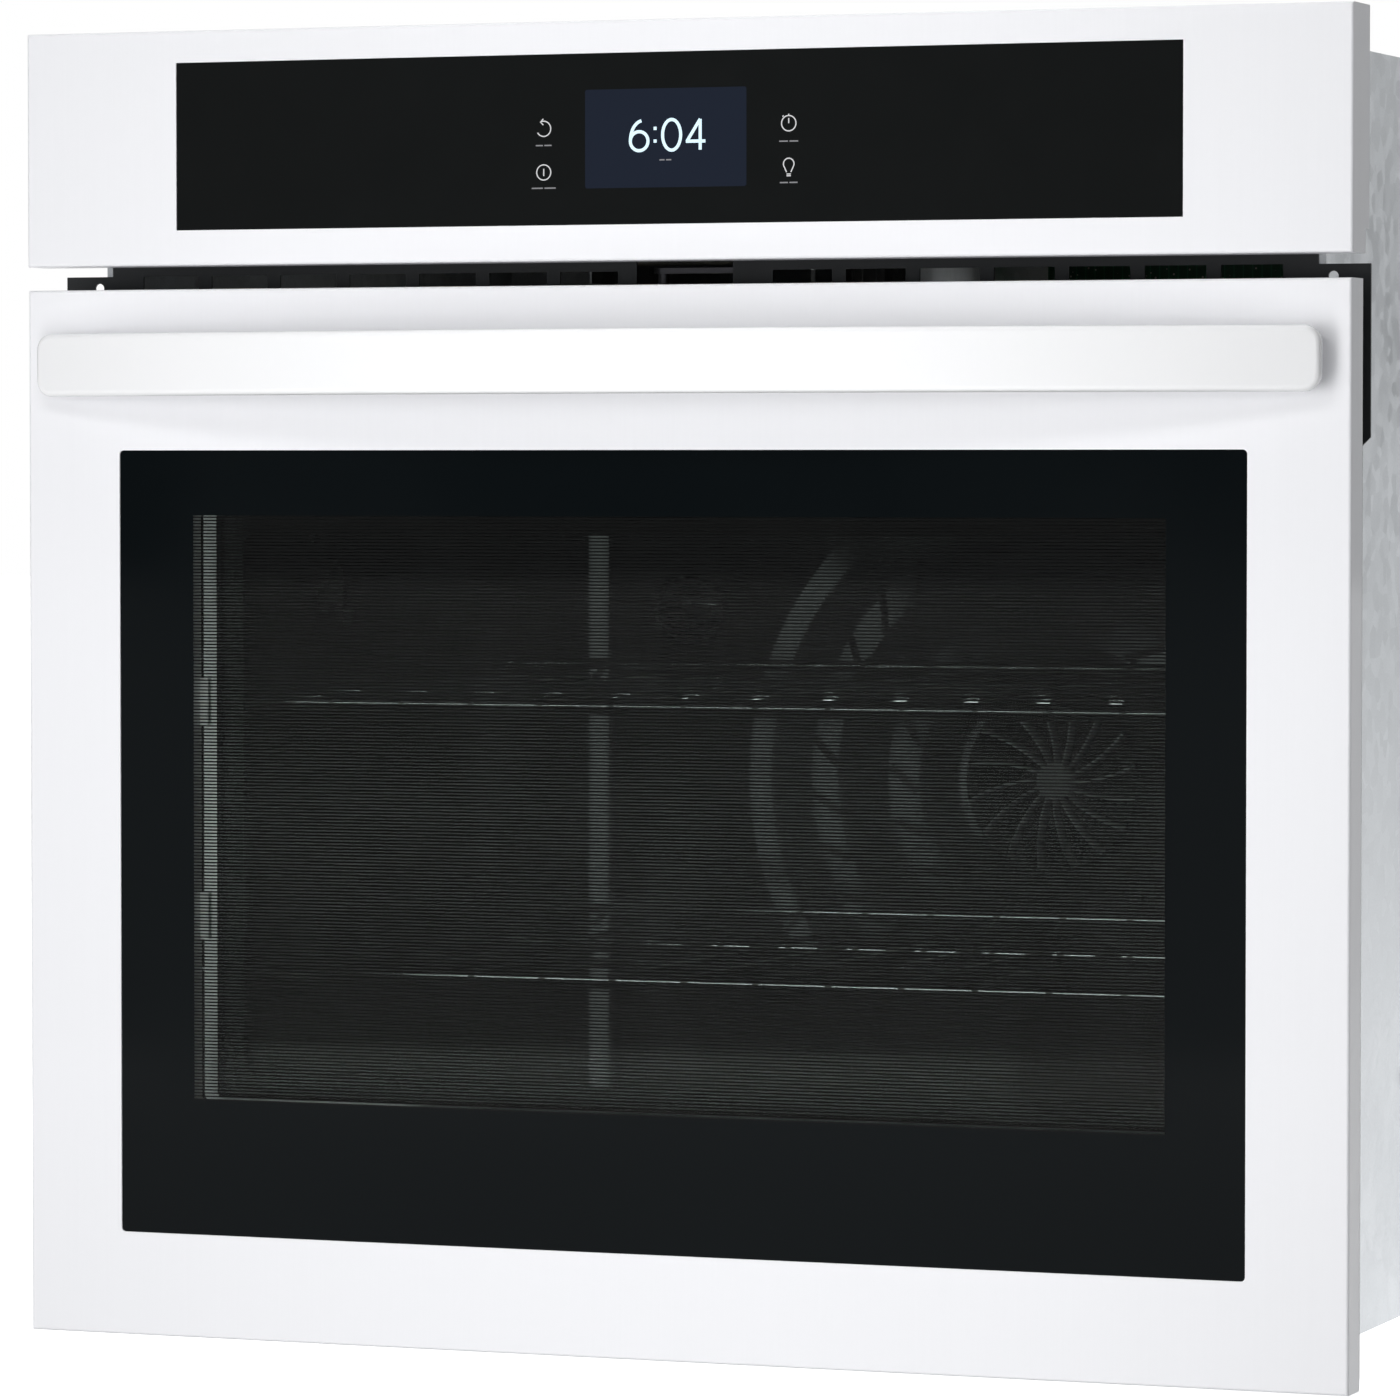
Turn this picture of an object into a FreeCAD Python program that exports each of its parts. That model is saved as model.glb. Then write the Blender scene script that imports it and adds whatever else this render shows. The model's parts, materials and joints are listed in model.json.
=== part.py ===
import FreeCAD, Part
import math
import os

# Built-in single wall oven, 30 inch class, in millimetres.
# Frame: +X to the right seen from the front, +Y into the cabinet, +Z up.
# Origin: centre of the base pan's flat underside, where the oven rests on its shelf.

V = FreeCAD.Vector

# ---------------------------------------------------------------- driving dimensions
BODY_WIDTH = 708.0
BODY_HEIGHT = 688.0
BODY_DEPTH = 590.0
SHEET = 0.8
FRONT_STANDOFF = 46.0

DOOR_WIDTH = 761.0
DOOR_HEIGHT = 580.5
DOOR_OVERHANG = 17.0
DOOR_RETURN = 22.0
DOOR_SHEET = 1.0
DOOR_GAP = 13.0

PANEL_WIDTH = 762.0
PANEL_HEIGHT = 129.2
PANEL_DEPTH = 32.0

FACE_Y = -BODY_DEPTH / 2
REAR_Y = BODY_DEPTH / 2
FRONT_Y = FACE_Y - FRONT_STANDOFF
HALF_BODY = BODY_WIDTH / 2
DOOR_Z = -DOOR_OVERHANG
DOOR_TOP = DOOR_Z + DOOR_HEIGHT
PANEL_Z = DOOR_TOP + DOOR_GAP

# front frame
FRAME_SHEET = 1.5
JOGGLE = 0.3
PLATE_BACK = FACE_Y - JOGGLE
FLANGE_HALF = 374.0
EAR_HALF = 378.5
EAR_BOTTOM = 474.0
EAR_TOP = 572.0
EAR_CHAMFER = 7.0
NECK_HALF = 350.0
NECK_LAP = 20.0
NECK_CORNER = 4.0
JOGGLE_MARGIN = 0.5
FRAME_BOTTOM = -14.0
FRAME_TOP = 683.0
SEAT_HALF = 325.0
SEAT_BOTTOM = 29.0
SEAT_TOP = 545.0
SEAT_CORNER = 24.0
SEAT_DEPTH = 5.0
CONTROL_CUT_HALF = 300.0
CONTROL_CUT_BOTTOM = 598.0
CONTROL_CUT_TOP = 672.0
SCREW_X = 368.5
SCREW_Z = (43.0, 523.0)
SCREW_HOLE_R = 2.6
LOCATING_X = 358.3
LOCATING_Z = 565.5
LOCATING_R = 2.8
VENT_BOTTOM = 565.0
VENT_HEIGHT = 7.0
VENT_LENGTH = 34.0
VENT_PITCH = 42.0
VENT_FIRST = 62.0
VENT_COUNT = 7

# cavity
CAVITY_HALF = 309.0
CAVITY_BOTTOM = 45.0
CAVITY_TOP = 531.0
CAVITY_CORNER = 14.0
CAVITY_SHEET = 1.2
CAVITY_FRONT = FACE_Y + SEAT_DEPTH
CAVITY_REAR = 204.0

# back wall and what passes through it
BACK_PAD_HALF = 262.0
BACK_PAD_SLOPE = 14.0
BACK_PAD_MARGIN = 20.0
PAD_FRONT = CAVITY_REAR - 6.0
PAD_BACK = PAD_FRONT + CAVITY_SHEET
BROIL_Z = 509.0
BAKE_Z = 34.0
ELEMENT_R = 3.4
ELEMENT_ENDS = (-25.0, 25.0)
LAMP_X = -194.0
LAMP_Z = 376.0
LAMP_R = 22.0
PROBE_X = -120.0
PROBE_Z = 490.0
CUTOUT_X = -150.0
CUTOUT_Y = 0.0

# glass wool round the cavity
WOOL_GAP = 2.0
WOOL_BACK = 34.0
WOOL_TOP = 566.0
WOOL_STEP_Y = FACE_Y + 52.0
BAKE_SPACE = 18.0
ELEMENT_SPACE_R = 8.0
RECEIVER_SPACE = 12.0
RECEIVER_BACK = FACE_Y + 70.0
RECEIVER_TOP = 44.0

# racks
RACK_LEVELS = 7
LEVEL_PITCH = 50.7
LEVEL_FIRST = 78.1
LOWER_LEVEL = 2
UPPER_LEVEL = 5
RACK_RAIL_R = 3.2
RACK_WIRE_R = 1.9
RACK_BAR_R = 2.6
RACK_HALF = 301.0
RACK_FRONT = FRONT_Y + 82.0
RACK_REAR = FRONT_Y + 506.0
RACK_RISE = 4.5
RACK_WIRES = 14
RACK_PITCH = 42.3
RACK_GAP = 0.3
RACK_BEND = 18.0
RACK_WIRE_BEND = 8.0
RACK_BARS = (RACK_FRONT + 135.0, RACK_FRONT + 280.0)
RACK_RAMP = 30.0
RACK_WIRE_RAMP = 26.0
RACK_STOP = 12.0
RACK_RAIL_LIFT = 7.6
LEDGE_REACH = 13.0
LEDGE_HEIGHT = 9.0
LEDGE_SPANS = ((FRONT_Y + 88.0, FRONT_Y + 205.0), (FRONT_Y + 395.0, FRONT_Y + 505.0))

# convection fan and its cover
FAN_X = 50.0
FAN_Z = 274.5
COVER_R = 204.0
COVER_SHEET = 1.0
COVER_STEPS = ((204.0, 0.0), (187.0, 7.0), (160.0, 7.0), (141.0, 13.0), (108.0, 13.0),
               (86.0, 19.0), (60.0, 19.0), (54.0, 23.0))
COVER_SLOTS = ((150.5, 30, 24.0), (97.0, 20, 24.0))
SLOT_WIDTH = 5.0
SLOT_TILT = 38.0
FAN_R = 72.0
FAN_BLADES = 16
FAN_HUB_R = 11.0
FAN_SHAFT_R = 4.0
RUNNING_FIT = 0.06

# hinge
HINGE_X = 339.0
HINGE_Y = FRONT_Y + 26.0
HINGE_Z = DOOR_Z + 16.0
HINGE_PIN_R = 4.0
ARM_THICKNESS = 6.0
CHANNEL_HALF = 8.0
CHANNEL_WALL = 2.0
CHANNEL_TOP = DOOR_Z + 330.0
SPRING_SEAT_Z = DOOR_Z + 130.0
SPRING_TOP_Z = DOOR_Z + 310.0
SPRING_R = 4.9
SPRING_WIRE_R = 1.2
SPRING_COILS = 45
SPRING_ROD_R = 2.5

# door glass pack
GLASS_OPEN_HALF = 324.7
GLASS_OPEN_BOTTOM = DOOR_Z + 57.4
GLASS_OPEN_TOP = DOOR_Z + 491.7
GLASS_CORNER = 2.5
WINDOW_HALF = 282.0
WINDOW_BOTTOM = DOOR_Z + 130.5
WINDOW_TOP = DOOR_Z + 457.5
LINER_HALF = 368.0
LINER_BOTTOM = DOOR_Z + 18.0
LINER_TOP = DOOR_Z + 578.0
LINER_FACE = FRONT_Y + 40.0
LINER_FRONT = FRONT_Y + 23.0
PAD_HALF = 296.0
PAD_BOTTOM = DOOR_Z + 78.0
PAD_TOP = DOOR_Z + 532.0
PAD_RISE = 4.0
PAD_CORNER = 18.0
LINER_SHEET = 1.0
LINER_CORNER = 6.0
LINER_WINDOW_CORNER = 8.0
WINDOW_LAP = 12.0
HINGE_SLOT_HALF = 9.5
HINGE_SLOT_TOP = DOOR_Z + 50.0
PANE_LAP = 11.0
OUTER_PANE = (FRONT_Y + 1.1, 4.0)
MIDDLE_PANE = (FRONT_Y + 14.0, 3.5)
INNER_PANE = (FRONT_Y + 38.5, 4.0)

# handle
HANDLE_HALF = 368.0
HANDLE_Z = DOOR_Z + 538.7
HANDLE_HEIGHT = 34.5
HANDLE_THICK = 9.0
HANDLE_END_GAP = 7.0
HANDLE_BOW = 49.0
HANDLE_MOUNT_X = 346.0

# control glass and display
CONTROL_HALF = 289.5
CONTROL_BOTTOM = PANEL_Z + 19.4
CONTROL_TOP = PANEL_Z + 111.6
DISPLAY_HALF = 46.4
DISPLAY_BOTTOM = PANEL_Z + 39.2
DISPLAY_TOP = PANEL_Z + 92.2

# latch, switch and blower
LATCH_X = 26.0
LATCH_Y = FACE_Y + 18.0
LATCH_Z = 571.0
LATCH_REACH = 52.0
LATCH_PIN_R = 3.0
SWITCH_X = -98.0
SWITCH_Z = 555.0
PLUNGER_R = 2.5
PLUNGER_PORT_GAP = 0.5
BLOWER_Y = 129.0
BLOWER_Z = 568.0
BLOWER_HEIGHT = 34.0
BLOWER_R = 78.0
IMPELLER_R = 60.0
IMPELLER_BLADES = 26

# casing sheet details
CUT_MARGIN = 1.0
SIDE_FLANGE = 14.0
FRONT_FLANGE_BOTTOM = 46.0
EDGE_INSET = 2.0
BASE_FLANGE_FRONT = FACE_Y + 120.0
EDGE_FLANGE = 12.0
SIDE_SLOT_ROWS = (610.0, 636.0)
SIDE_SLOT_FIRST = FACE_Y + 180.0
SIDE_SLOT_PITCH = 34.0
SIDE_SLOT_SIZE = (22.0, 5.0)
SIDE_SLOT_COUNT = 9
TOP_SLOT_FIRST = (-150.0, 120.0)
TOP_SLOT_PITCH = (40.0, 22.0)
TOP_SLOT_SIZE = (26.0, 6.0)
TOP_SLOT_COUNT = (8, 3)
LOUVRE_PITCH = 15.0
LOUVRE_HEIGHT = 5.0
LOUVRE_HALF = 70.0
UPPER_LOUVRES = (105.0, 545.0, 7)
LOWER_LOUVRES = (60.0, 6)
BODY_HEAD = ((6.4, 0.9), (4.6, 3.4))
SCREW_EDGE = 24.0

# front frame passages
HOOK_PORT_X = (-34.0, 22.0)
HOOK_PORT_Z = (553.0, 577.0)
ARM_PORT_Z = (-8.0, 27.0)

# electronics shelf
POWER_SHELF_X = (105.0, 320.0)
POWER_SHELF_Y = (-160.0, 0.0)
POWER_SHELF_Z = 620.0
SHELF_FOOT_Z = 568.0
SHELF_SHEET = 1.0
POWER_BOARD_X = (112.0, 310.0)
POWER_BOARD_Y = (-154.0, -10.0)
BOARD_THICK = 1.6
BOARD_POST = 8.0
RELAY_SIZE = (28.0, 18.0, 16.4)
RELAY_PITCH = 38.0
RELAY_COUNT = 5
TERMINAL_X = (205.0, 275.0)
TERMINAL_Y = (200.0, 234.0)
TERMINAL_Z = 600.0
TERMINAL_PITCH = 20.0

# heating elements
ELEMENT_BEND = 22.0
ELEMENT_HALF = 215.0
ELEMENT_INNER = 75.0
ELEMENT_REAR = CAVITY_REAR - 60.0
ELEMENT_FRONT = FRONT_Y + 118.0

# latch pocket in the door's inner pan
POCKET_DEPTH = 16.0
POCKET_X = (LATCH_X - 54.0, LATCH_X - 24.0)
POCKET_MOUTH_END = LATCH_X - 39.5
POCKET_WALL = 0.6

# wiring inlet
GLAND_X = 250.0
GLAND_Z = 640.0
GLAND_BORE_R = 11.0
GLAND_NECK_R = 13.0
GLAND_FLANGE_R = 17.0
GLAND_REACH = 5.0
GLAND_NECK = 9.0
GLAND_NUT = 4.0


# ---------------------------------------------------------------- helpers
def box(x0, x1, y0, y1, z0, z1):
    """Block between two corners."""
    return Part.makeBox(x1 - x0, y1 - y0, z1 - z0, V(x0, y0, z0))


def bar_x(x0, x1, y, z, radius):
    """Round bar along X."""
    return Part.makeCylinder(radius, x1 - x0, V(x0, y, z), V(1, 0, 0))


def bar_y(x, y0, y1, z, radius):
    """Round bar along Y."""
    return Part.makeCylinder(radius, y1 - y0, V(x, y0, z), V(0, 1, 0))


def bar_z(x, y, z0, z1, radius):
    """Round bar along Z."""
    return Part.makeCylinder(radius, z1 - z0, V(x, y, z0), V(0, 0, 1))


def fillet_along(shape, direction, radius):
    """Round the straight edges that run along one axis."""
    edges = []
    for edge in shape.Edges:
        run = edge.Vertexes[-1].Point - edge.Vertexes[0].Point
        if run.Length > 0 and abs(run.normalize().dot(direction)) > 0.99:
            edges.append(edge)
    return shape.makeFillet(radius, edges)


def slab(half, y0, y1, z0, z1, corner):
    """Block centred on X whose corners are rounded as seen from the front."""
    return fillet_along(box(-half, half, y0, y1, z0, z1), V(0, 1, 0), corner)


def prism(points, direction):
    """Flat polygon pushed along a vector."""
    return Part.Face(Part.makePolygon(points + points[:1])).extrude(direction)


def joined(shapes):
    """All the shapes welded into one solid."""
    return shapes[0].multiFuse(shapes[1:]).removeSplitter()


def cut_all(shape, tools):
    """Shape with every tool removed from it."""
    return shape.cut(Part.makeCompound(tools))


def both_sides(shape):
    """A left and a right copy of one identical piece."""
    return Part.makeCompound([shape, mirrored(shape)])


def mirrored(shape):
    """Copy on the other side of the centre plane."""
    return shape.mirror(V(0, 0, 0), V(1, 0, 0))


def bent_tube(points, bend, radius):
    """Round tube along straight runs joined by arcs of one bend radius."""
    edges = []
    start = points[0]
    for before, corner, after in zip(points, points[1:], points[2:]):
        back = (before - corner).normalize()
        ahead = (after - corner).normalize()
        half_turn = back.getAngle(ahead) / 2
        reach = bend / math.tan(half_turn)
        inward = (back + ahead).normalize()
        middle = corner + inward * (bend / math.sin(half_turn) - bend)
        arc_start = corner + back * reach
        arc_end = corner + ahead * reach
        edges.append(Part.LineSegment(start, arc_start).toShape())
        edges.append(Part.Arc(arc_start, middle, arc_end).toShape())
        start = arc_end
    edges.append(Part.LineSegment(start, points[-1]).toShape())
    path = Part.Wire(edges)
    ring = Part.Wire(Part.makeCircle(radius, points[0], points[1] - points[0]))
    return path.makePipeShell([ring], True, True)


def export(name, shape):
    """Write one node."""
    shape.exportStep("parts/" + name + ".step")


# ---------------------------------------------------------------- casing
def front_frame():
    """Black steel front of the casing: flange, ears, gasket seat, slots and holes."""
    y0 = FACE_Y - FRAME_SHEET
    before = y0 - CUT_MARGIN
    behind = FACE_Y + CUT_MARGIN
    lower = box(-FLANGE_HALF, FLANGE_HALF, y0, FACE_Y, FRAME_BOTTOM, EAR_TOP)
    neck = box(-NECK_HALF, NECK_HALF, y0, FACE_Y, EAR_TOP - NECK_LAP, FRAME_TOP)
    neck = fillet_along(neck, V(0, 1, 0), NECK_CORNER)
    ear_inner = EAR_HALF - EAR_CHAMFER
    ear_step = EAR_BOTTOM + EAR_CHAMFER
    ears = prism([V(-ear_inner, y0, EAR_BOTTOM), V(ear_inner, y0, EAR_BOTTOM),
                  V(EAR_HALF, y0, ear_step), V(EAR_HALF, y0, EAR_TOP),
                  V(-EAR_HALF, y0, EAR_TOP), V(-EAR_HALF, y0, ear_step)],
                 V(0, FRAME_SHEET, 0))
    lip = slab(SEAT_HALF + FRAME_SHEET, y0, FACE_Y + SEAT_DEPTH, SEAT_BOTTOM - FRAME_SHEET,
               SEAT_TOP + FRAME_SHEET, SEAT_CORNER + FRAME_SHEET)
    joggle_half = HALF_BODY + JOGGLE_MARGIN
    joggle = box(-joggle_half, joggle_half, PLATE_BACK, behind, 0.0, FRAME_TOP + CUT_MARGIN)
    frame = joined([joined([lower, neck, ears]).cut(joggle), lip])
    pocket_back = FACE_Y + SEAT_DEPTH - FRAME_SHEET
    pocket = slab(SEAT_HALF, before, pocket_back, SEAT_BOTTOM, SEAT_TOP, SEAT_CORNER)
    mouth_back = FACE_Y + SEAT_DEPTH + CUT_MARGIN
    mouth = slab(CAVITY_HALF, before, mouth_back, CAVITY_BOTTOM, CAVITY_TOP, CAVITY_CORNER)
    control = box(-CONTROL_CUT_HALF, CONTROL_CUT_HALF, before, behind, CONTROL_CUT_BOTTOM, CONTROL_CUT_TOP)
    cuts = [pocket, mouth, control]
    cuts.append(box(*HOOK_PORT_X, before, behind, *HOOK_PORT_Z))
    cuts.append(bar_y(SWITCH_X, before, behind, SWITCH_Z, PLUNGER_R + PLUNGER_PORT_GAP))
    for side in (-1, 1):
        x = side * HINGE_X
        cuts.append(box(x - CHANNEL_HALF, x + CHANNEL_HALF, before, behind, *ARM_PORT_Z))
        cuts.append(bar_y(side * LOCATING_X, before, behind, LOCATING_Z, LOCATING_R))
        for z in SCREW_Z:
            cuts.append(bar_y(side * SCREW_X, before, behind, z, SCREW_HOLE_R))
        for index in range(VENT_COUNT):
            middle = side * (VENT_FIRST + index * VENT_PITCH)
            cuts.append(box(middle - VENT_LENGTH / 2, middle + VENT_LENGTH / 2, before, behind,
                            VENT_BOTTOM, VENT_BOTTOM + VENT_HEIGHT))
    return cut_all(frame, cuts)


def side_panel():
    """Right-hand casing side with a flange at the front and rear and rows of vent slots."""
    outer = HALF_BODY
    inner = outer - SIDE_FLANGE
    top = BODY_HEIGHT - SHEET
    wall = box(outer - SHEET, outer, PLATE_BACK, REAR_Y - SHEET, SHEET, top)
    front = box(inner, outer, PLATE_BACK, PLATE_BACK + SHEET,
                FRONT_FLANGE_BOTTOM, BODY_HEIGHT - SIDE_FLANGE)
    rear = box(inner, outer, REAR_Y - 2 * SHEET, REAR_Y - SHEET, SHEET, top)
    panel = joined([wall, front, rear])
    length, height = SIDE_SLOT_SIZE
    slots = []
    for z in SIDE_SLOT_ROWS:
        for index in range(SIDE_SLOT_COUNT):
            y = SIDE_SLOT_FIRST + index * SIDE_SLOT_PITCH
            slots.append(box(outer - 2 * SHEET, outer + CUT_MARGIN, y, y + length, z, z + height))
    return cut_all(panel, slots)


def top_cover():
    """Flat cover over the electronics, with turned-down edges and vent slots."""
    under = BODY_HEIGHT - SHEET
    top = box(-HALF_BODY, HALF_BODY, FACE_Y, REAR_Y, under, BODY_HEIGHT)
    edge = HALF_BODY - SHEET
    right = box(edge - SHEET, edge, FACE_Y + EDGE_INSET, REAR_Y - EDGE_INSET,
                BODY_HEIGHT - EDGE_FLANGE, under)
    cover = joined([top, right, mirrored(right)])
    length, width = TOP_SLOT_SIZE
    columns, rows = TOP_SLOT_COUNT
    slots = []
    for row in range(rows):
        for index in range(columns):
            x = TOP_SLOT_FIRST[0] + index * TOP_SLOT_PITCH[0]
            y = TOP_SLOT_FIRST[1] + row * TOP_SLOT_PITCH[1]
            slots.append(box(x, x + length, y, y + width, under - CUT_MARGIN, BODY_HEIGHT + CUT_MARGIN))
    return cut_all(cover, slots)


def base_pan():
    """Flat base that rests on the cabinet shelf, with turned-up edges."""
    floor = box(-HALF_BODY, HALF_BODY, FACE_Y, REAR_Y, 0.0, SHEET)
    edge = HALF_BODY - SHEET
    right = box(edge - SHEET, edge, BASE_FLANGE_FRONT, REAR_Y - EDGE_INSET, SHEET, EDGE_FLANGE)
    return joined([floor, right, mirrored(right)])


def louvre(x, z):
    """One slot of the rear sheet."""
    return box(x - LOUVRE_HALF, x + LOUVRE_HALF, REAR_Y - 2 * SHEET, REAR_Y + CUT_MARGIN,
               z, z + LOUVRE_HEIGHT)


def rear_cover():
    """Rear sheet with louvre slots and the hole for the wiring gland."""
    half = HALF_BODY - SHEET
    sheet = box(-half, half, REAR_Y - SHEET, REAR_Y, SHEET, BODY_HEIGHT - SHEET)
    cuts = [bar_y(GLAND_X, REAR_Y - 2 * SHEET, REAR_Y + CUT_MARGIN, GLAND_Z, GLAND_NECK_R)]
    x, first, count = UPPER_LOUVRES
    for index in range(count):
        cuts.append(louvre(-x, first + index * LOUVRE_PITCH))
        cuts.append(louvre(x, first + index * LOUVRE_PITCH))
    first, count = LOWER_LOUVRES
    for index in range(count):
        cuts.append(louvre(0.0, first + index * LOUVRE_PITCH))
    return cut_all(sheet, cuts)


def insulation():
    """Glass wool wrapped round the cavity, cleared for everything that passes through it."""
    half = HALF_BODY - WOOL_GAP
    front = CAVITY_FRONT + WOOL_GAP
    block = box(-half, half, front, CAVITY_REAR + WOOL_BACK, WOOL_GAP, WOOL_TOP)
    hollow_half = CAVITY_HALF + WOOL_GAP
    roof = CAVITY_TOP + WOOL_GAP
    cuts = [box(-hollow_half, hollow_half, CAVITY_FRONT, CAVITY_REAR + WOOL_GAP,
                CAVITY_BOTTOM - BAKE_SPACE, roof)]
    cuts.append(box(-HALF_BODY, HALF_BODY, CAVITY_FRONT, WOOL_STEP_Y, roof, WOOL_TOP + CUT_MARGIN))
    for side in (-1, 1):
        x = side * HINGE_X
        cuts.append(box(x - RECEIVER_SPACE, x + RECEIVER_SPACE, CAVITY_FRONT, RECEIVER_BACK + 4.0,
                        1.0, RECEIVER_TOP + 4.0))
    for x, z, radius in ((FAN_X, FAN_Z, 42.0), (LAMP_X, LAMP_Z, 30.0), (PROBE_X, PROBE_Z, 14.0)):
        cuts.append(bar_y(x, CAVITY_REAR, REAR_Y, z, radius))
    for x in ELEMENT_ENDS:
        cuts.append(bar_y(x, CAVITY_REAR, REAR_Y, BROIL_Z, ELEMENT_SPACE_R))
        cuts.append(bar_y(x, CAVITY_REAR - 6.0, REAR_Y, BAKE_Z, ELEMENT_SPACE_R))
    cuts.append(bar_z(CUTOUT_X, CUTOUT_Y, WOOL_TOP - 18.0, WOOL_TOP + CUT_MARGIN, 22.0))
    return cut_all(block, cuts)


# ---------------------------------------------------------------- cavity
def rack_height(level):
    """Height of the front rail of a rack on one ledge."""
    return LEVEL_FIRST + level * LEVEL_PITCH


def cavity_side():
    """Right-hand cavity wall with its pressed rack ledges."""
    outside = CAVITY_HALF + CAVITY_SHEET
    ledges = [box(CAVITY_HALF, outside, CAVITY_FRONT, CAVITY_REAR, CAVITY_BOTTOM, CAVITY_TOP)]
    for level in range(RACK_LEVELS):
        top = rack_height(level) - RACK_RAIL_R - RACK_GAP
        for y0, y1 in LEDGE_SPANS:
            outline = [V(CAVITY_HALF, y0, top), V(CAVITY_HALF - LEDGE_REACH, y0, top),
                       V(CAVITY_HALF - LEDGE_REACH, y0, top - LEDGE_HEIGHT / 3),
                       V(CAVITY_HALF, y0, top - LEDGE_HEIGHT)]
            ledges.append(prism(outline, V(0, y1 - y0, 0)))
    return joined(ledges)


def cavity_deck(z0):
    """Flat roof or floor of the cavity."""
    half = CAVITY_HALF + CAVITY_SHEET
    return box(-half, half, CAVITY_FRONT, CAVITY_REAR, z0, z0 + CAVITY_SHEET)


def back_pad(half, front, inset):
    """Raised middle of the back wall, with sloping sides, from one depth to behind the sheet."""
    y1 = CAVITY_REAR + inset
    z0 = CAVITY_BOTTOM + BACK_PAD_MARGIN + inset
    height = CAVITY_TOP - BACK_PAD_MARGIN - inset - z0
    outline = [V(-half, y1, z0), V(-half + BACK_PAD_SLOPE, front, z0),
               V(half - BACK_PAD_SLOPE, front, z0), V(half, y1, z0)]
    return prism(outline, V(0, 0, height))


def cavity_back():
    """Back wall with a raised middle pad and the holes for fan, lamp, probe and element."""
    half = CAVITY_HALF + CAVITY_SHEET
    y0 = CAVITY_REAR
    sheet = box(-half, half, y0, y0 + CAVITY_SHEET, CAVITY_BOTTOM - CAVITY_SHEET, CAVITY_TOP + CAVITY_SHEET)
    back = joined([sheet, back_pad(BACK_PAD_HALF, PAD_FRONT, 0.0)])
    through = PAD_FRONT - 1
    cuts = [back_pad(BACK_PAD_HALF - CAVITY_SHEET, PAD_BACK, CAVITY_SHEET),
            bar_y(FAN_X, through, y0 + 3, FAN_Z, FAN_SHAFT_R + 2.0),
            bar_y(LAMP_X, through, y0 + 3, LAMP_Z, LAMP_R - 2.0),
            bar_y(PROBE_X, through, y0 + 3, PROBE_Z, 4.0)]
    for x in ELEMENT_ENDS:
        cuts.append(bar_y(x, through, y0 + 3, BROIL_Z, ELEMENT_R + 0.6))
    return cut_all(back, cuts)


def fan_cover():
    """Stepped round cover over the convection fan, with two rings of slanted slots."""
    base_y = PAD_FRONT
    outer = [V(radius, base_y - depth, 0) for radius, depth in COVER_STEPS]
    inner = [V(radius, base_y - depth + COVER_SHEET, 0) for radius, depth in reversed(COVER_STEPS)]
    inner[-1] = V(COVER_R, base_y, 0)
    inner[-2] = V(COVER_STEPS[1][0] + 0.5, base_y - COVER_STEPS[1][1] + COVER_SHEET, 0)
    profile = Part.Face(Part.makePolygon(outer + inner + outer[:1]))
    cover = profile.revolve(V(0, 0, 0), V(0, 1, 0), 360)
    slots = []
    for radius, count, length in COVER_SLOTS:
        slot = box(-SLOT_WIDTH / 2, SLOT_WIDTH / 2, base_y - 40, base_y + 5,
                   radius - length / 2, radius + length / 2)
        slot.rotate(V(0, 0, radius), V(0, 1, 0), SLOT_TILT)
        for index in range(count):
            copy = slot.copy()
            copy.rotate(V(0, 0, 0), V(0, 1, 0), 360.0 * index / count)
            slots.append(copy)
    cover = cut_all(cover, slots)
    cover.translate(V(FAN_X, 0, FAN_Z))
    return cover


def convection_fan():
    """Fan wheel on the motor shaft behind the cover."""
    y0 = CAVITY_REAR - 23.0
    disc_y = CAVITY_REAR - 9.0
    disc = bar_y(0, disc_y, disc_y + 1.2, 0, FAN_R)
    hub = bar_y(0, y0 - 1.0, disc_y + 1.2, 0, FAN_HUB_R)
    pieces = [disc, hub]
    root = Part.Arc(V(8.0, y0, 0), V(42.0, y0, 7.0), V(FAN_R - 1, y0, 26.0)).toShape()
    blade = root.extrude(V(0, disc_y - y0 + 0.6, 0)).makeOffsetShape(1.2, 0.01, fill=True)
    for index in range(FAN_BLADES):
        copy = blade.copy()
        copy.rotate(V(0, 0, 0), V(0, 1, 0), 360.0 * index / FAN_BLADES)
        pieces.append(copy)
    wheel = joined(pieces)
    wheel = wheel.cut(bar_y(0, y0 + 4.0, disc_y + 3.0, 0, FAN_SHAFT_R + RUNNING_FIT))
    wheel.translate(V(FAN_X, 0, FAN_Z))
    return wheel


def convection_motor():
    """Motor behind the cavity with its shaft reaching through the back wall."""
    boss_y = CAVITY_REAR + 24.0
    can_y = boss_y + 12.0
    shaft = bar_y(FAN_X, CAVITY_REAR - 18.0, can_y, FAN_Z, FAN_SHAFT_R)
    boss = bar_y(FAN_X, boss_y, can_y, FAN_Z, 14.0)
    can = bar_y(FAN_X, can_y, can_y + 48.0, FAN_Z, 36.0)
    strap_half = 60.0
    strap_rise = 14.0
    strap = box(FAN_X - strap_half, FAN_X + strap_half, can_y + 2.0, can_y + 4.0,
                FAN_Z - strap_rise, FAN_Z + strap_rise)
    return joined([shaft, boss, can, strap])


def heating_element(z):
    """Tubular heater bent into a flat M, ends leaving through the back."""
    end = ELEMENT_ENDS[1]
    terminal = CAVITY_REAR + 24.0
    loop_end = ELEMENT_REAR - 70.0
    right = [V(end, terminal, z), V(end, ELEMENT_REAR, z), V(ELEMENT_HALF, ELEMENT_REAR, z),
             V(ELEMENT_HALF, ELEMENT_FRONT, z), V(ELEMENT_INNER, ELEMENT_FRONT, z),
             V(ELEMENT_INNER, loop_end, z)]
    left = [V(-point.x, point.y, point.z) for point in reversed(right)]
    return bent_tube(right + left, ELEMENT_BEND, ELEMENT_R)


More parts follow.
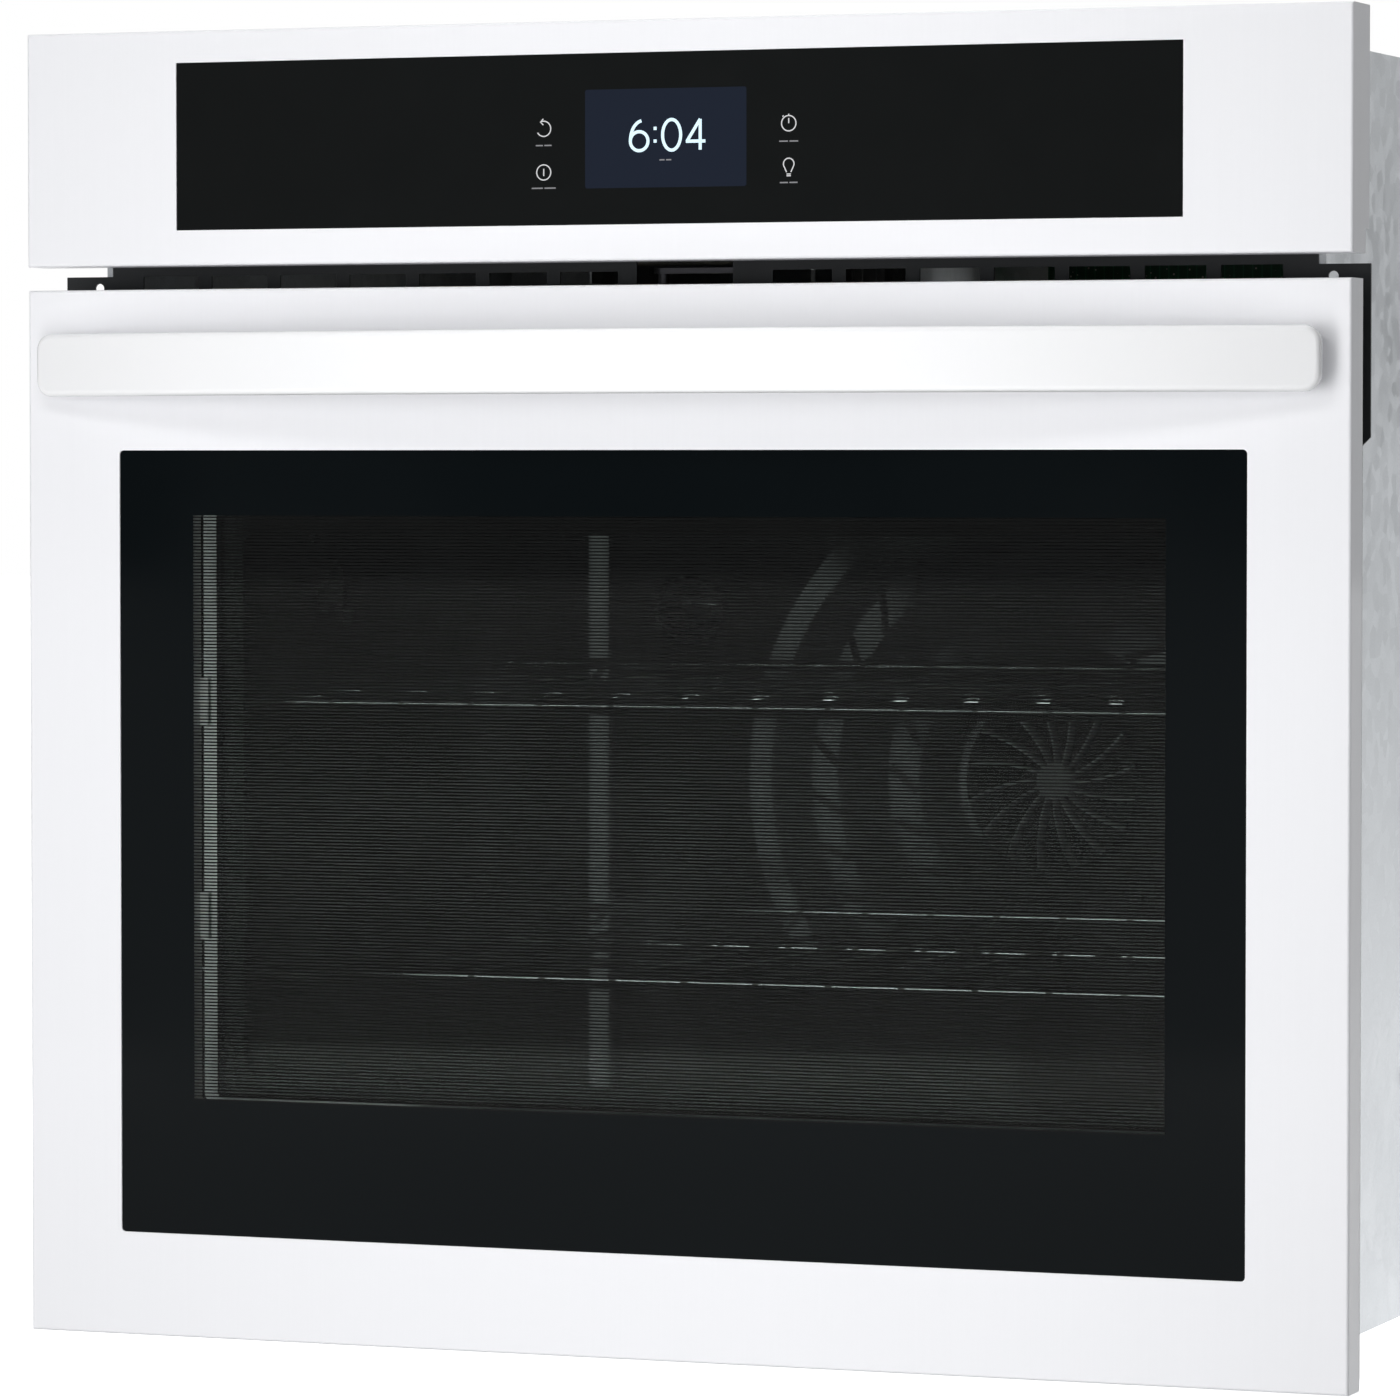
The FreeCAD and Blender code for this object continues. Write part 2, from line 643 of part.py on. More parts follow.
def wire_rack(level):
    """Welded wire rack: outer rails, two cross bars and fourteen wires."""
    z = rack_height(level)
    back = RACK_REAR
    stop_z = z + RACK_RISE + RACK_STOP
    path = [V(0, RACK_FRONT, z), V(RACK_HALF, RACK_FRONT, z), V(RACK_HALF, back - RACK_RAMP, z),
            V(RACK_HALF, back, stop_z)]
    right = bent_tube(path, RACK_BEND, RACK_RAIL_R)
    pieces = [right, mirrored(right)]
    rear_z = z + RACK_RISE + RACK_RAIL_LIFT
    pieces.append(bar_x(-RACK_HALF - 1, RACK_HALF + 1, back - 4.0, rear_z, RACK_RAIL_R))
    for y in RACK_BARS:
        pieces.append(bar_x(-RACK_HALF, RACK_HALF, y, z + RACK_RAIL_R - RACK_BAR_R, RACK_BAR_R))
    wire_z = z + RACK_RAIL_R + RACK_WIRE_R - 0.5
    for index in range(RACK_WIRES):
        x = (index - (RACK_WIRES - 1) / 2) * RACK_PITCH
        path = [V(x, RACK_FRONT - 3.0, wire_z), V(x, back - RACK_WIRE_RAMP, wire_z), V(x, back, stop_z)]
        pieces.append(bent_tube(path, RACK_WIRE_BEND, RACK_WIRE_R))
    return joined(pieces)


def lamp_socket():
    """Ceramic lamp holder behind the back wall."""
    y0 = PAD_BACK
    flange = bar_y(LAMP_X, y0, y0 + 2.0, LAMP_Z, 28.0)
    cup = bar_y(LAMP_X, y0, y0 + 34.0, LAMP_Z, 19.0)
    inside = bar_y(LAMP_X, y0 - 1, y0 + 26.0, LAMP_Z, 16.0)
    return joined([flange, cup]).cut(inside)


def lamp_bulb():
    """Capsule bulb in its holder."""
    y0 = PAD_BACK + 26.0
    stem = bar_y(LAMP_X, y0 - 6.0, y0, LAMP_Z, 5.0)
    capsule = bar_y(LAMP_X, y0 - 20.0, y0 - 6.0, LAMP_Z, 6.0)
    tip = Part.makeSphere(6.0, V(LAMP_X, y0 - 20.0, LAMP_Z))
    return joined([stem, capsule, tip])


def lamp_lens():
    """Domed glass cover of the lamp inside the cavity."""
    y0 = PAD_FRONT
    rim = bar_y(LAMP_X, y0 - 3.0, y0, LAMP_Z, LAMP_R)
    dome_r = 34.0
    centre = y0 - 3.0 + math.sqrt(dome_r ** 2 - (LAMP_R - 3.0) ** 2)
    ball = Part.makeSphere(dome_r, V(LAMP_X, centre, LAMP_Z))
    cap = ball.common(box(LAMP_X - 40, LAMP_X + 40, centre - 50, y0 - 3.0, LAMP_Z - 40, LAMP_Z + 40))
    return joined([rim, cap])


def temperature_probe():
    """Slim sensor tube reaching into the cavity from its flange."""
    tip_y = CAVITY_REAR - 90.0
    tube = bar_y(PROBE_X, tip_y, CAVITY_REAR + 20.0, PROBE_Z, 2.6)
    tip = Part.makeSphere(2.6, V(PROBE_X, tip_y, PROBE_Z))
    flange = box(PROBE_X - 16.0, PROBE_X + 16.0, PAD_FRONT - 1.5, PAD_FRONT, PROBE_Z - 8.0, PROBE_Z + 8.0)
    return joined([tube, tip, flange])


def thermal_cutout():
    """Round safety thermostat on the insulation."""
    can = bar_z(CUTOUT_X, CUTOUT_Y, 550.0, 562.0, 12.0)
    ears = box(CUTOUT_X - 18.0, CUTOUT_X + 18.0, CUTOUT_Y - 4.0, CUTOUT_Y + 4.0, 549.0, 550.5)
    tabs = [box(CUTOUT_X + x, CUTOUT_X + x + 0.8, CUTOUT_Y - 3.0, CUTOUT_Y + 3.0, 561.5, 569.0)
            for x in (-6.0, 5.2)]
    return joined([can, ears] + tabs)


def door_gasket():
    """Woven seal ring round the cavity mouth."""
    half = SEAT_HALF - 8.0
    y = FRONT_Y + 45.0
    z0 = SEAT_BOTTOM + 8.0
    z1 = SEAT_TOP - 8.0
    points = [V(0, y, z0), V(half, y, z0), V(half, y, z1), V(-half, y, z1), V(-half, y, z0), V(0, y, z0)]
    return bent_tube(points, 26.0, 4.1)


# ---------------------------------------------------------------- control section
def control_panel():
    """White folded front over the electronics, open behind, with the glass opening."""
    half = PANEL_WIDTH / 2
    top = PANEL_Z + PANEL_HEIGHT
    back = FRONT_Y + PANEL_DEPTH
    outer = box(-half, half, FRONT_Y, back, PANEL_Z, top)
    rounded = []
    for edge in outer.Edges:
        if abs(edge.CenterOfMass.y - FRONT_Y) < 0.01:
            rounded.append(edge)
    outer = outer.makeFillet(1.6, rounded)
    inner = box(-half + DOOR_SHEET, half - DOOR_SHEET, FRONT_Y + DOOR_SHEET, back + 1,
                PANEL_Z + DOOR_SHEET, top - DOOR_SHEET)
    opening = box(-CONTROL_HALF, CONTROL_HALF, FRONT_Y - 1, back, CONTROL_BOTTOM, CONTROL_TOP)
    notch = box(-half - 1, half + 1, back - 7.0, back + 1, PANEL_Z - 1, PANEL_Z + 13.0)
    return cut_all(outer, [inner, opening, notch])


def control_glass():
    """Black touch glass set flush in the panel."""
    gap = 0.25
    return box(-CONTROL_HALF + gap, CONTROL_HALF - gap, FRONT_Y + 0.3, FRONT_Y + 3.3,
               CONTROL_BOTTOM + gap, CONTROL_TOP - gap)


def display_board():
    """Circuit board behind the glass with the display on it."""
    lcd = box(-DISPLAY_HALF - 3, DISPLAY_HALF + 3, FRONT_Y + 3.4, FRONT_Y + 8.0,
              DISPLAY_BOTTOM - 3, DISPLAY_TOP + 3)
    board = box(-150.0, 150.0, FRONT_Y + 8.0, FRONT_Y + 9.6, CONTROL_BOTTOM + 6, CONTROL_TOP - 6)
    chips = [box(x, x + 22.0, FRONT_Y + 9.6, FRONT_Y + 13.0, PANEL_Z + 50.0, PANEL_Z + 72.0)
             for x in (-110.0, -30.0, 60.0)]
    return joined([lcd, board] + chips)


def control_carrier():
    """Moulded frame that holds glass and board in the panel."""
    half = CONTROL_HALF + 8.0
    z0 = CONTROL_BOTTOM - 8.0
    z1 = CONTROL_TOP + 8.0
    outer = box(-half, half, FRONT_Y + 3.4, FRONT_Y + 24.0, z0, z1)
    hollow = box(-155.0, 155.0, FRONT_Y + 3.0, FRONT_Y + 21.0, CONTROL_BOTTOM + 3, CONTROL_TOP - 3)
    left = box(-half + 4, -159.0, FRONT_Y + 7.0, FRONT_Y + 25.0, z0 + 4, z1 - 4)
    frame = cut_all(outer, [hollow, left, mirrored(left)])
    plate_y = FACE_Y - FRAME_SHEET
    arm = box(half - 4.0, half + 30.0, FRONT_Y + 20.0, FRONT_Y + 24.0, z0 + 6.0, z1 - 14.0)
    leg = box(half + 26.0, half + 30.0, FRONT_Y + 20.0, plate_y, z0 + 6.0, z1 - 14.0)
    foot = box(half + 26.0, half + 44.0, plate_y - 3.0, plate_y, z0 + 6.0, z1 - 14.0)
    return joined([frame, arm, leg, foot, mirrored(arm), mirrored(leg), mirrored(foot)])


def relay_board():
    """Power board with relays on a steel shelf in the top compartment."""
    shelf_top = POWER_SHELF_Z + SHELF_SHEET
    shelf = box(*POWER_SHELF_X, *POWER_SHELF_Y, POWER_SHELF_Z, shelf_top)
    leg = box(*POWER_SHELF_X, POWER_SHELF_Y[1] - SHELF_SHEET, POWER_SHELF_Y[1], SHELF_FOOT_Z, shelf_top)
    board_z = shelf_top + BOARD_POST
    parts_z = board_z + BOARD_THICK
    x0, x1 = POWER_BOARD_X
    y0, y1 = POWER_BOARD_Y
    posts = [bar_z(x, y, shelf_top, board_z, 3.0)
             for x in (x0 + 8.0, x1 - 10.0) for y in (y0 + 4.0, y1 - 10.0)]
    board = box(x0, x1, y0, y1, board_z, parts_z)
    length, width, height = RELAY_SIZE
    relays = []
    for index in range(RELAY_COUNT):
        x = x0 + 16.0 + index * RELAY_PITCH
        relays.append(box(x, x + length, y0 + 16.0, y0 + 16.0 + width, parts_z, parts_z + height))
    coil = box(x0 + 28.0, x0 + 73.0, y0 + 74.0, y0 + 116.0, parts_z, parts_z + 31.4)
    plug = box(x1 - 80.0, x1 - 14.0, y1 - 34.0, y1 - 22.0, parts_z, parts_z + 11.4)
    return joined([shelf, leg, board, coil, plug] + posts + relays)


def cooling_duct():
    """Flared sheet channel that leads the blower's air to the front slots."""
    y_rear = BLOWER_Y - BLOWER_R - 24.0
    y_front = FACE_Y + 84.0
    narrow = 52.0
    wide = 96.0
    outline = [(-narrow, y_rear), (narrow, y_rear), (wide, y_front), (-wide, y_front)]
    outer = prism([V(x, y, BLOWER_Z) for x, y in outline], V(0, 0, BLOWER_HEIGHT))
    inset = 1.0
    inside = [(-narrow + inset, y_rear + 1), (narrow - inset, y_rear + 1),
              (wide - inset, y_front - 1), (-wide + inset, y_front - 1)]
    inner = prism([V(x, y, BLOWER_Z - 1) for x, y in inside], V(0, 0, BLOWER_HEIGHT))
    return outer.cut(inner)


def blower_outline(radius, mouth):
    """Plan of the blower scroll: a disc with a straight outlet towards the front."""
    disc = bar_z(0, BLOWER_Y, BLOWER_Z, BLOWER_Z + BLOWER_HEIGHT, radius)
    outlet = box(-mouth, mouth, BLOWER_Y - BLOWER_R - 22.0, BLOWER_Y, BLOWER_Z, BLOWER_Z + BLOWER_HEIGHT)
    return joined([disc, outlet])


def blower_housing():
    """Sheet scroll round the cooling impeller."""
    shell = blower_outline(BLOWER_R, 50.0)
    hollow = blower_outline(BLOWER_R - 1.0, 49.0)
    hollow = hollow.common(box(-200, 200, BLOWER_Y - 200, BLOWER_Y + 200,
                               BLOWER_Z + 1.0, BLOWER_Z + BLOWER_HEIGHT - 1.0))
    mouth = box(-49.0, 49.0, BLOWER_Y - BLOWER_R - 30.0, BLOWER_Y - BLOWER_R, BLOWER_Z + 1.0,
                BLOWER_Z + BLOWER_HEIGHT - 1.0)
    inlet = bar_z(0, BLOWER_Y, BLOWER_Z + BLOWER_HEIGHT - 3, BLOWER_Z + BLOWER_HEIGHT + 1, 46.0)
    return cut_all(shell, [hollow, mouth, inlet])


def blower_motor():
    """Motor over the blower on a three-legged bracket, with its shaft down into the impeller."""
    top = BLOWER_Z + BLOWER_HEIGHT
    can = bar_z(0, BLOWER_Y, top + 8.0, top + 50.0, 30.0)
    shaft = bar_z(0, BLOWER_Y, BLOWER_Z + 10.0, top + 8.0, 3.0)
    pieces = [can, shaft]
    for index in range(3):
        leg = box(-6.0, 6.0, BLOWER_Y + 24.0, BLOWER_Y + 66.0, top + 9.0, top + 10.5)
        foot = box(-6.0, 6.0, BLOWER_Y + 64.5, BLOWER_Y + 66.0, top, top + 10.5)
        arm = joined([leg, foot])
        arm.rotate(V(0, BLOWER_Y, 0), V(0, 0, 1), 120.0 * index)
        pieces.append(arm)
    return joined(pieces)


def cooling_impeller():
    """Blower wheel: back disc, top ring and curved blades."""
    z0 = BLOWER_Z + 5.0
    z1 = BLOWER_Z + BLOWER_HEIGHT - 5.0
    disc = bar_z(0, 0, z0, z0 + 1.2, IMPELLER_R)
    hub = bar_z(0, 0, z0, z0 + 16.0, 9.0)
    ring = bar_z(0, 0, z1 - 1.5, z1, IMPELLER_R).cut(bar_z(0, 0, z1 - 2, z1 + 1, IMPELLER_R - 8.0))
    pieces = [disc, hub, ring]
    root = Part.Arc(V(IMPELLER_R - 11.5, 0, z0 + 0.6), V(IMPELLER_R - 5.0, 2.0, z0 + 0.6),
                    V(IMPELLER_R - 0.8, 6.5, z0 + 0.6)).toShape()
    blade = root.extrude(V(0, 0, z1 - z0 - 1.2)).makeOffsetShape(0.9, 0.01, fill=True)
    for index in range(IMPELLER_BLADES):
        copy = blade.copy()
        copy.rotate(V(0, 0, 0), V(0, 0, 1), 360.0 * index / IMPELLER_BLADES)
        pieces.append(copy)
    wheel = joined(pieces)
    wheel = wheel.cut(bar_z(0, 0, z0 + 3.0, z0 + 20.0, 3.0 + RUNNING_FIT))
    wheel.translate(V(0, BLOWER_Y, 0))
    return wheel


def latch_bracket():
    """Angle that carries the latch behind the front frame."""
    z0 = LATCH_Z + 6.0
    shelf = box(-60.0, 80.0, FACE_Y + 2.0, FACE_Y + 66.0, z0, z0 + 1.5)
    flange = box(-60.0, 80.0, FACE_Y + 0.3, FACE_Y + 2.0, z0, z0 + 18.0)
    bore = bar_z(LATCH_X, LATCH_Y, z0 - 1, z0 + 3, LATCH_PIN_R + RUNNING_FIT)
    return joined([shelf, flange]).cut(bore)


def latch_motor():
    """Gear motor that turns the latch hook."""
    z0 = LATCH_Z + 7.5
    gearbox = box(LATCH_X - 16.0, LATCH_X + 40.0, LATCH_Y - 14.0, LATCH_Y + 36.0, z0, z0 + 16.0)
    gearbox = fillet_along(gearbox, V(0, 0, 1), 4.0)
    can = bar_z(LATCH_X + 16.0, LATCH_Y + 14.0, z0 + 16.0, z0 + 38.0, 20.0)
    bore = bar_z(LATCH_X, LATCH_Y, z0 - 1, z0 + 9.0, LATCH_PIN_R + RUNNING_FIT)
    return joined([gearbox, can]).cut(bore)


def latch_hook():
    """Flat hook on an upright pin; its tip finger drops into the door when it swings out."""
    half = 5.0
    top = LATCH_Z + 3.0
    tip_x = LATCH_X - LATCH_REACH
    arm = box(tip_x, LATCH_X, LATCH_Y - half, LATCH_Y + half, LATCH_Z, top)
    eye = bar_z(LATCH_X, LATCH_Y, LATCH_Z, top, 9.0)
    pin = bar_z(LATCH_X, LATCH_Y, LATCH_Z, LATCH_Z + 14.0, LATCH_PIN_R)
    finger = bar_z(tip_x, LATCH_Y, LATCH_Z - 14.0, top, 3.0)
    tip = bar_z(tip_x, LATCH_Y, LATCH_Z, top, half)
    return joined([arm, eye, pin, finger, tip])


def door_switch():
    """Small switch behind the front frame that feels the door."""
    y0 = FACE_Y + 1.0
    body = box(SWITCH_X - 12.0, SWITCH_X + 12.0, y0 + 2.0, y0 + 26.0, SWITCH_Z - 6.0, SWITCH_Z + 7.0)
    collar = bar_y(SWITCH_X, y0, y0 + 2.0, SWITCH_Z, 5.0)
    bore = bar_y(SWITCH_X, y0 - 1, y0 + 18.0, SWITCH_Z, PLUNGER_R + RUNNING_FIT)
    tabs = [box(SWITCH_X + x, SWITCH_X + x + 4.0, y0 + 26.0, y0 + 33.0, SWITCH_Z - 1.0, SWITCH_Z - 0.2)
            for x in (-8.0, 4.0)]
    return joined([body, collar] + tabs).cut(bore)


def switch_plunger():
    """Round-nosed plunger of the door switch."""
    y0 = LINER_FACE + 0.4
    stem = bar_y(SWITCH_X, y0 + 2.5, FACE_Y + 12.0, SWITCH_Z, PLUNGER_R)
    nose = Part.makeSphere(PLUNGER_R, V(SWITCH_X, y0 + 2.5, SWITCH_Z))
    return joined([stem, nose])


def terminal_block():
    """Mains terminal block with three screw posts."""
    x0, x1 = TERMINAL_X
    y0, y1 = TERMINAL_Y
    top = TERMINAL_Z + 12.0
    pieces = [box(x0, x1, y0, y1, TERMINAL_Z, top)]
    for index in range(3):
        x = x0 + 4.0 + index * TERMINAL_PITCH
        pieces.append(bar_z(x + 11.0, (y0 + y1) / 2, top, top + 10.0, 4.0))
        pieces.append(box(x, x + 2.0, y0, y1, top, top + 6.0))
    leg = box(x0, x1, y1 - 2.0, y1, SHELF_FOOT_Z, TERMINAL_Z)
    return joined(pieces + [leg])


def conduit_gland():
    """Round bushing in the rear cover where the supply cable enters."""
    out = REAR_Y + GLAND_REACH
    inside = REAR_Y - SHEET
    ring = bar_y(GLAND_X, REAR_Y, out, GLAND_Z, GLAND_FLANGE_R)
    neck = bar_y(GLAND_X, REAR_Y - GLAND_NECK, out, GLAND_Z, GLAND_NECK_R)
    nut = bar_y(GLAND_X, inside - GLAND_NUT, inside, GLAND_Z, GLAND_FLANGE_R)
    bore = bar_y(GLAND_X, REAR_Y - 2 * GLAND_NECK, out + CUT_MARGIN, GLAND_Z, GLAND_BORE_R)
    return joined([ring, neck, nut]).cut(bore)


def hinge_receiver():
    """Right-hand steel pocket behind the front frame with the cross pin that holds the hook arm."""
    half = 11.0
    y0 = FACE_Y + 0.2
    outer = box(HINGE_X - half, HINGE_X + half, y0, FACE_Y + 70.0, 2.0, 44.0)
    inner = box(HINGE_X - half + 2, HINGE_X + half - 2, y0 - 1, FACE_Y + 71.0, 4.0, 42.0)
    pin = bar_x(HINGE_X - half, HINGE_X + half, FACE_Y + 36.0, 8.0, 3.0)
    return joined([outer.cut(inner), pin])


def screw_head(place, direction):
    """Hex-washer screw head, drawn as a washer disc with a round head on it."""
    discs = [Part.makeCylinder(radius, height, place, direction) for radius, height in BODY_HEAD]
    return joined(discs)


def body_screws():
    """Hex-washer screws of the casing."""
    low = SCREW_EDGE
    high = BODY_HEIGHT - SCREW_EDGE
    heads = []
    for side in (-1, 1):
        outward = V(side, 0, 0)
        for y in (FACE_Y + SCREW_EDGE, 0.0, REAR_Y - SCREW_EDGE):
            heads.append(screw_head(V(side * HALF_BODY, y, low), outward))
            heads.append(screw_head(V(side * HALF_BODY, y, high), outward))
        for z in (low, 200.0, 360.0, 520.0, high):
            heads.append(screw_head(V(side * (HALF_BODY - SIDE_FLANGE), REAR_Y, z), V(0, 1, 0)))
        for y in (FACE_Y + 40.0, 0.0, REAR_Y - 40.0):
            heads.append(screw_head(V(side * (HALF_BODY - SCREW_EDGE), y, BODY_HEIGHT), V(0, 0, 1)))
    return Part.makeCompound(heads)


# ---------------------------------------------------------------- door
def door_skin():
    """White folded outer panel with the glass opening and the hinge notches."""
    half = DOOR_WIDTH / 2
    back = FRONT_Y + DOOR_RETURN
    outer = box(-half, half, FRONT_Y, back, DOOR_Z, DOOR_TOP)
    rounded = []
    for edge in outer.Edges:
        if abs(edge.CenterOfMass.y - FRONT_Y) < 0.01:
            rounded.append(edge)
    outer = outer.makeFillet(1.6, rounded)
    inner = box(-half + DOOR_SHEET, half - DOOR_SHEET, FRONT_Y + DOOR_SHEET, back + 1,
                DOOR_Z + DOOR_SHEET, DOOR_TOP - DOOR_SHEET)
    opening = slab(GLASS_OPEN_HALF, FRONT_Y - 1, back, GLASS_OPEN_BOTTOM, GLASS_OPEN_TOP, GLASS_CORNER)
    cuts = [inner, opening]
    for side in (-1, 1):
        x = side * HINGE_X
        cuts.append(box(x - 9.5, x + 9.5, FRONT_Y + 12.0, back + 1, DOOR_Z - 1, DOOR_Z + 2))
    return cut_all(outer, cuts)


def pane(half, place, z0, z1, corner):
    """Flat pane of glass whose place is its front plane and thickness."""
    y0, thick = place
    return slab(half, y0, y0 + thick, z0, z1, corner)


def glass_frame():
    """Bright folded frame between the outer and inner panes, with clips for the middle pane."""
    wall = 0.8
    y0 = FRONT_Y + 5.4
    y1 = FRONT_Y + 34.8
    outer = slab(WINDOW_HALF + wall, y0, y1, WINDOW_BOTTOM - wall, WINDOW_TOP + wall, 4.0)
    inner = slab(WINDOW_HALF, y0 - 1, y1 + 1, WINDOW_BOTTOM, WINDOW_TOP, 3.2)
    foot = slab(WINDOW_HALF + 10.0, y0, y0 + wall, WINDOW_BOTTOM - 10.0, WINDOW_TOP + 10.0, 4.0)
    frame = joined([outer, foot]).cut(inner)
    clips = [frame]
    pane_y = FRONT_Y + 14.0
    for side in (-1, 1):
        for z in (WINDOW_BOTTOM + 90.0, WINDOW_TOP - 118.0):
            edge = side * WINDOW_HALF
            x0 = min(edge, edge - side * 5.0)
            clips.append(box(x0, x0 + 5.0, pane_y - 1.2, pane_y, z, z + 26.0))
            clips.append(box(x0, x0 + 5.0, pane_y + 3.5, pane_y + 4.7, z, z + 26.0))
    return joined(clips)


def latch_pocket(shell):
    """Inner pan with the pocket that the latch hook drops into."""
    x0, x1 = POCKET_X
    floor_z = LINER_TOP - POCKET_DEPTH
    above = LINER_TOP + CUT_MARGIN
    front = LINER_FRONT
    back = LINER_FACE - 0.5
    wall = POCKET_WALL
    block = box(x0 - wall, x1 + wall, front, back, floor_z - wall, LINER_TOP - 0.5)
    mouth = box(x0, POCKET_MOUTH_END, front + wall, LINER_FACE + CUT_MARGIN, floor_z, above)
    hollow = box(x0, x1, front + wall, LINER_FACE - 2.0, floor_z, above)
    return cut_all(joined([shell, block]), [mouth, hollow])


def door_liner():
    """Black inner pan of the door with a raised pad, window opening, hinge slots and latch pocket."""
    wall = LINER_SHEET
    before = LINER_FRONT - CUT_MARGIN
    outer = box(-LINER_HALF, LINER_HALF, LINER_FRONT, LINER_FACE, LINER_BOTTOM, LINER_TOP)
    outer = fillet_along(outer, V(0, 1, 0), LINER_CORNER)
    pad = slab(PAD_HALF, LINER_FACE - 3, LINER_FACE + PAD_RISE, PAD_BOTTOM, PAD_TOP, PAD_CORNER)
    shell = joined([outer, pad])
    hollow = slab(LINER_HALF - wall, before, LINER_FACE - wall, LINER_BOTTOM + wall, LINER_TOP - wall,
                  LINER_CORNER - wall)
    pad_hollow = slab(PAD_HALF - wall, before, LINER_FACE + PAD_RISE - wall, PAD_BOTTOM + wall,
                      PAD_TOP - wall, PAD_CORNER - wall)
    window = slab(WINDOW_HALF - WINDOW_LAP, LINER_FRONT, LINER_FACE + 10, WINDOW_BOTTOM + WINDOW_LAP,
                  WINDOW_TOP - WINDOW_LAP, LINER_WINDOW_CORNER)
    cuts = [hollow, pad_hollow, window]
    for side in (-1, 1):
        x = side * HINGE_X
        cuts.append(box(x - HINGE_SLOT_HALF, x + HINGE_SLOT_HALF, before, LINER_FACE + CUT_MARGIN,
                        LINER_BOTTOM - CUT_MARGIN, HINGE_SLOT_TOP))
    return latch_pocket(cut_all(shell, cuts))


def door_insulation():
    """Glass wool ring between the skin and the liner."""
    block = slab(SEAT_HALF + 2.0, FRONT_Y + 6.5, FRONT_Y + 36.0, DOOR_Z + 38.0, DOOR_Z + 556.0, 10.0)
    window = slab(WINDOW_HALF + 12.0, FRONT_Y + 5.0, FRONT_Y + 40.0, WINDOW_BOTTOM - 12.0,
                  WINDOW_TOP + 12.0, 6.0)
    return block.cut(window)


def hinge_arm():
    """Right-hand hook arm from the receiver to the pivot in the door."""
    x0 = HINGE_X - ARM_THICKNESS / 2
    outline = [(HINGE_Y - 3.0, HINGE_Z - 7.5), (HINGE_Y + 4.0, HINGE_Z - 7.5), (FACE_Y - 1.0, 6.0),
               (FACE_Y + 32.0, 6.0), (FACE_Y + 32.0, 12.0), (FACE_Y + 40.5, 12.0), (FACE_Y + 40.5, 5.0),
               (FACE_Y + 48.0, 5.0), (FACE_Y + 64.0, 12.0), (FACE_Y + 64.0, 24.0),
               (FACE_Y + 2.0, 24.0), (HINGE_Y - 3.0, HINGE_Z + 8.5)]
    plate = prism([V(x0, y, z) for y, z in outline], V(ARM_THICKNESS, 0, 0))
    eye = bar_x(x0, x0 + ARM_THICKNESS, HINGE_Y, HINGE_Z, 9.0)
    bore = bar_x(x0 - 1, x0 + ARM_THICKNESS + 1, HINGE_Y, HINGE_Z, HINGE_PIN_R + RUNNING_FIT)
    return joined([plate, eye]).cut(bore)


def hinge_channel():
    """Right-hand steel channel in the door that houses the spring and turns on the pivot."""
    y0 = FRONT_Y + 12.0
    y1 = FRONT_Y + 37.0
    outer = box(HINGE_X - CHANNEL_HALF, HINGE_X + CHANNEL_HALF, y0, y1, DOOR_Z + 3.0, CHANNEL_TOP)
    inner = box(HINGE_X - CHANNEL_HALF + CHANNEL_WALL, HINGE_X + CHANNEL_HALF - CHANNEL_WALL,
                y0 + CHANNEL_WALL, y1 + 1, DOOR_Z + 2.0, CHANNEL_TOP - 2.0)
    seat = box(HINGE_X - CHANNEL_HALF, HINGE_X + CHANNEL_HALF, y0, y1, SPRING_SEAT_Z - 3.0, SPRING_SEAT_Z)
    channel = joined([outer.cut(inner), seat])
    rod_hole = bar_z(HINGE_X, FRONT_Y + 25.0, SPRING_SEAT_Z - 5, SPRING_SEAT_Z + 2, SPRING_ROD_R + 0.5)
    pin_hole = bar_x(HINGE_X - 12, HINGE_X + 12, HINGE_Y, HINGE_Z, HINGE_PIN_R)
    return cut_all(channel, [rod_hole, pin_hole])


def hinge_spring():
    """Right-hand compression spring drawn as touching rings."""
    coil_pitch = (SPRING_TOP_Z - SPRING_SEAT_Z) / SPRING_COILS
    y = FRONT_Y + 25.0
    sleeve = bar_z(HINGE_X, y, SPRING_SEAT_Z, SPRING_TOP_Z, SPRING_R + 0.5)
    bore = bar_z(HINGE_X, y, SPRING_SEAT_Z - 1, SPRING_TOP_Z + 1, SPRING_R - 0.6)
    rings = []
    for index in range(SPRING_COILS // 3):
        z = SPRING_SEAT_Z + (3 * index + 1.5) * coil_pitch
        rings.append(bar_z(HINGE_X, y, z - coil_pitch, z + coil_pitch, SPRING_R + SPRING_WIRE_R / 2))
    return joined([sleeve] + rings).cut(bore)


def spring_rod():
    """Right-hand rod through the spring, with its pressure cap on top."""
    y = FRONT_Y + 25.0
    stem = bar_z(HINGE_X, y, DOOR_Z + 46.0, SPRING_TOP_Z + 0.3, SPRING_ROD_R)
    cap = bar_z(HINGE_X, y, SPRING_TOP_Z + 0.3, SPRING_TOP_Z + 4.0, 5.5)
    return joined([stem, cap])


def hinge_pin():
    """Right-hand pivot pin, pressed into the channel."""
    return bar_x(HINGE_X - 9.0, HINGE_X + 9.0, HINGE_Y, HINGE_Z, HINGE_PIN_R)


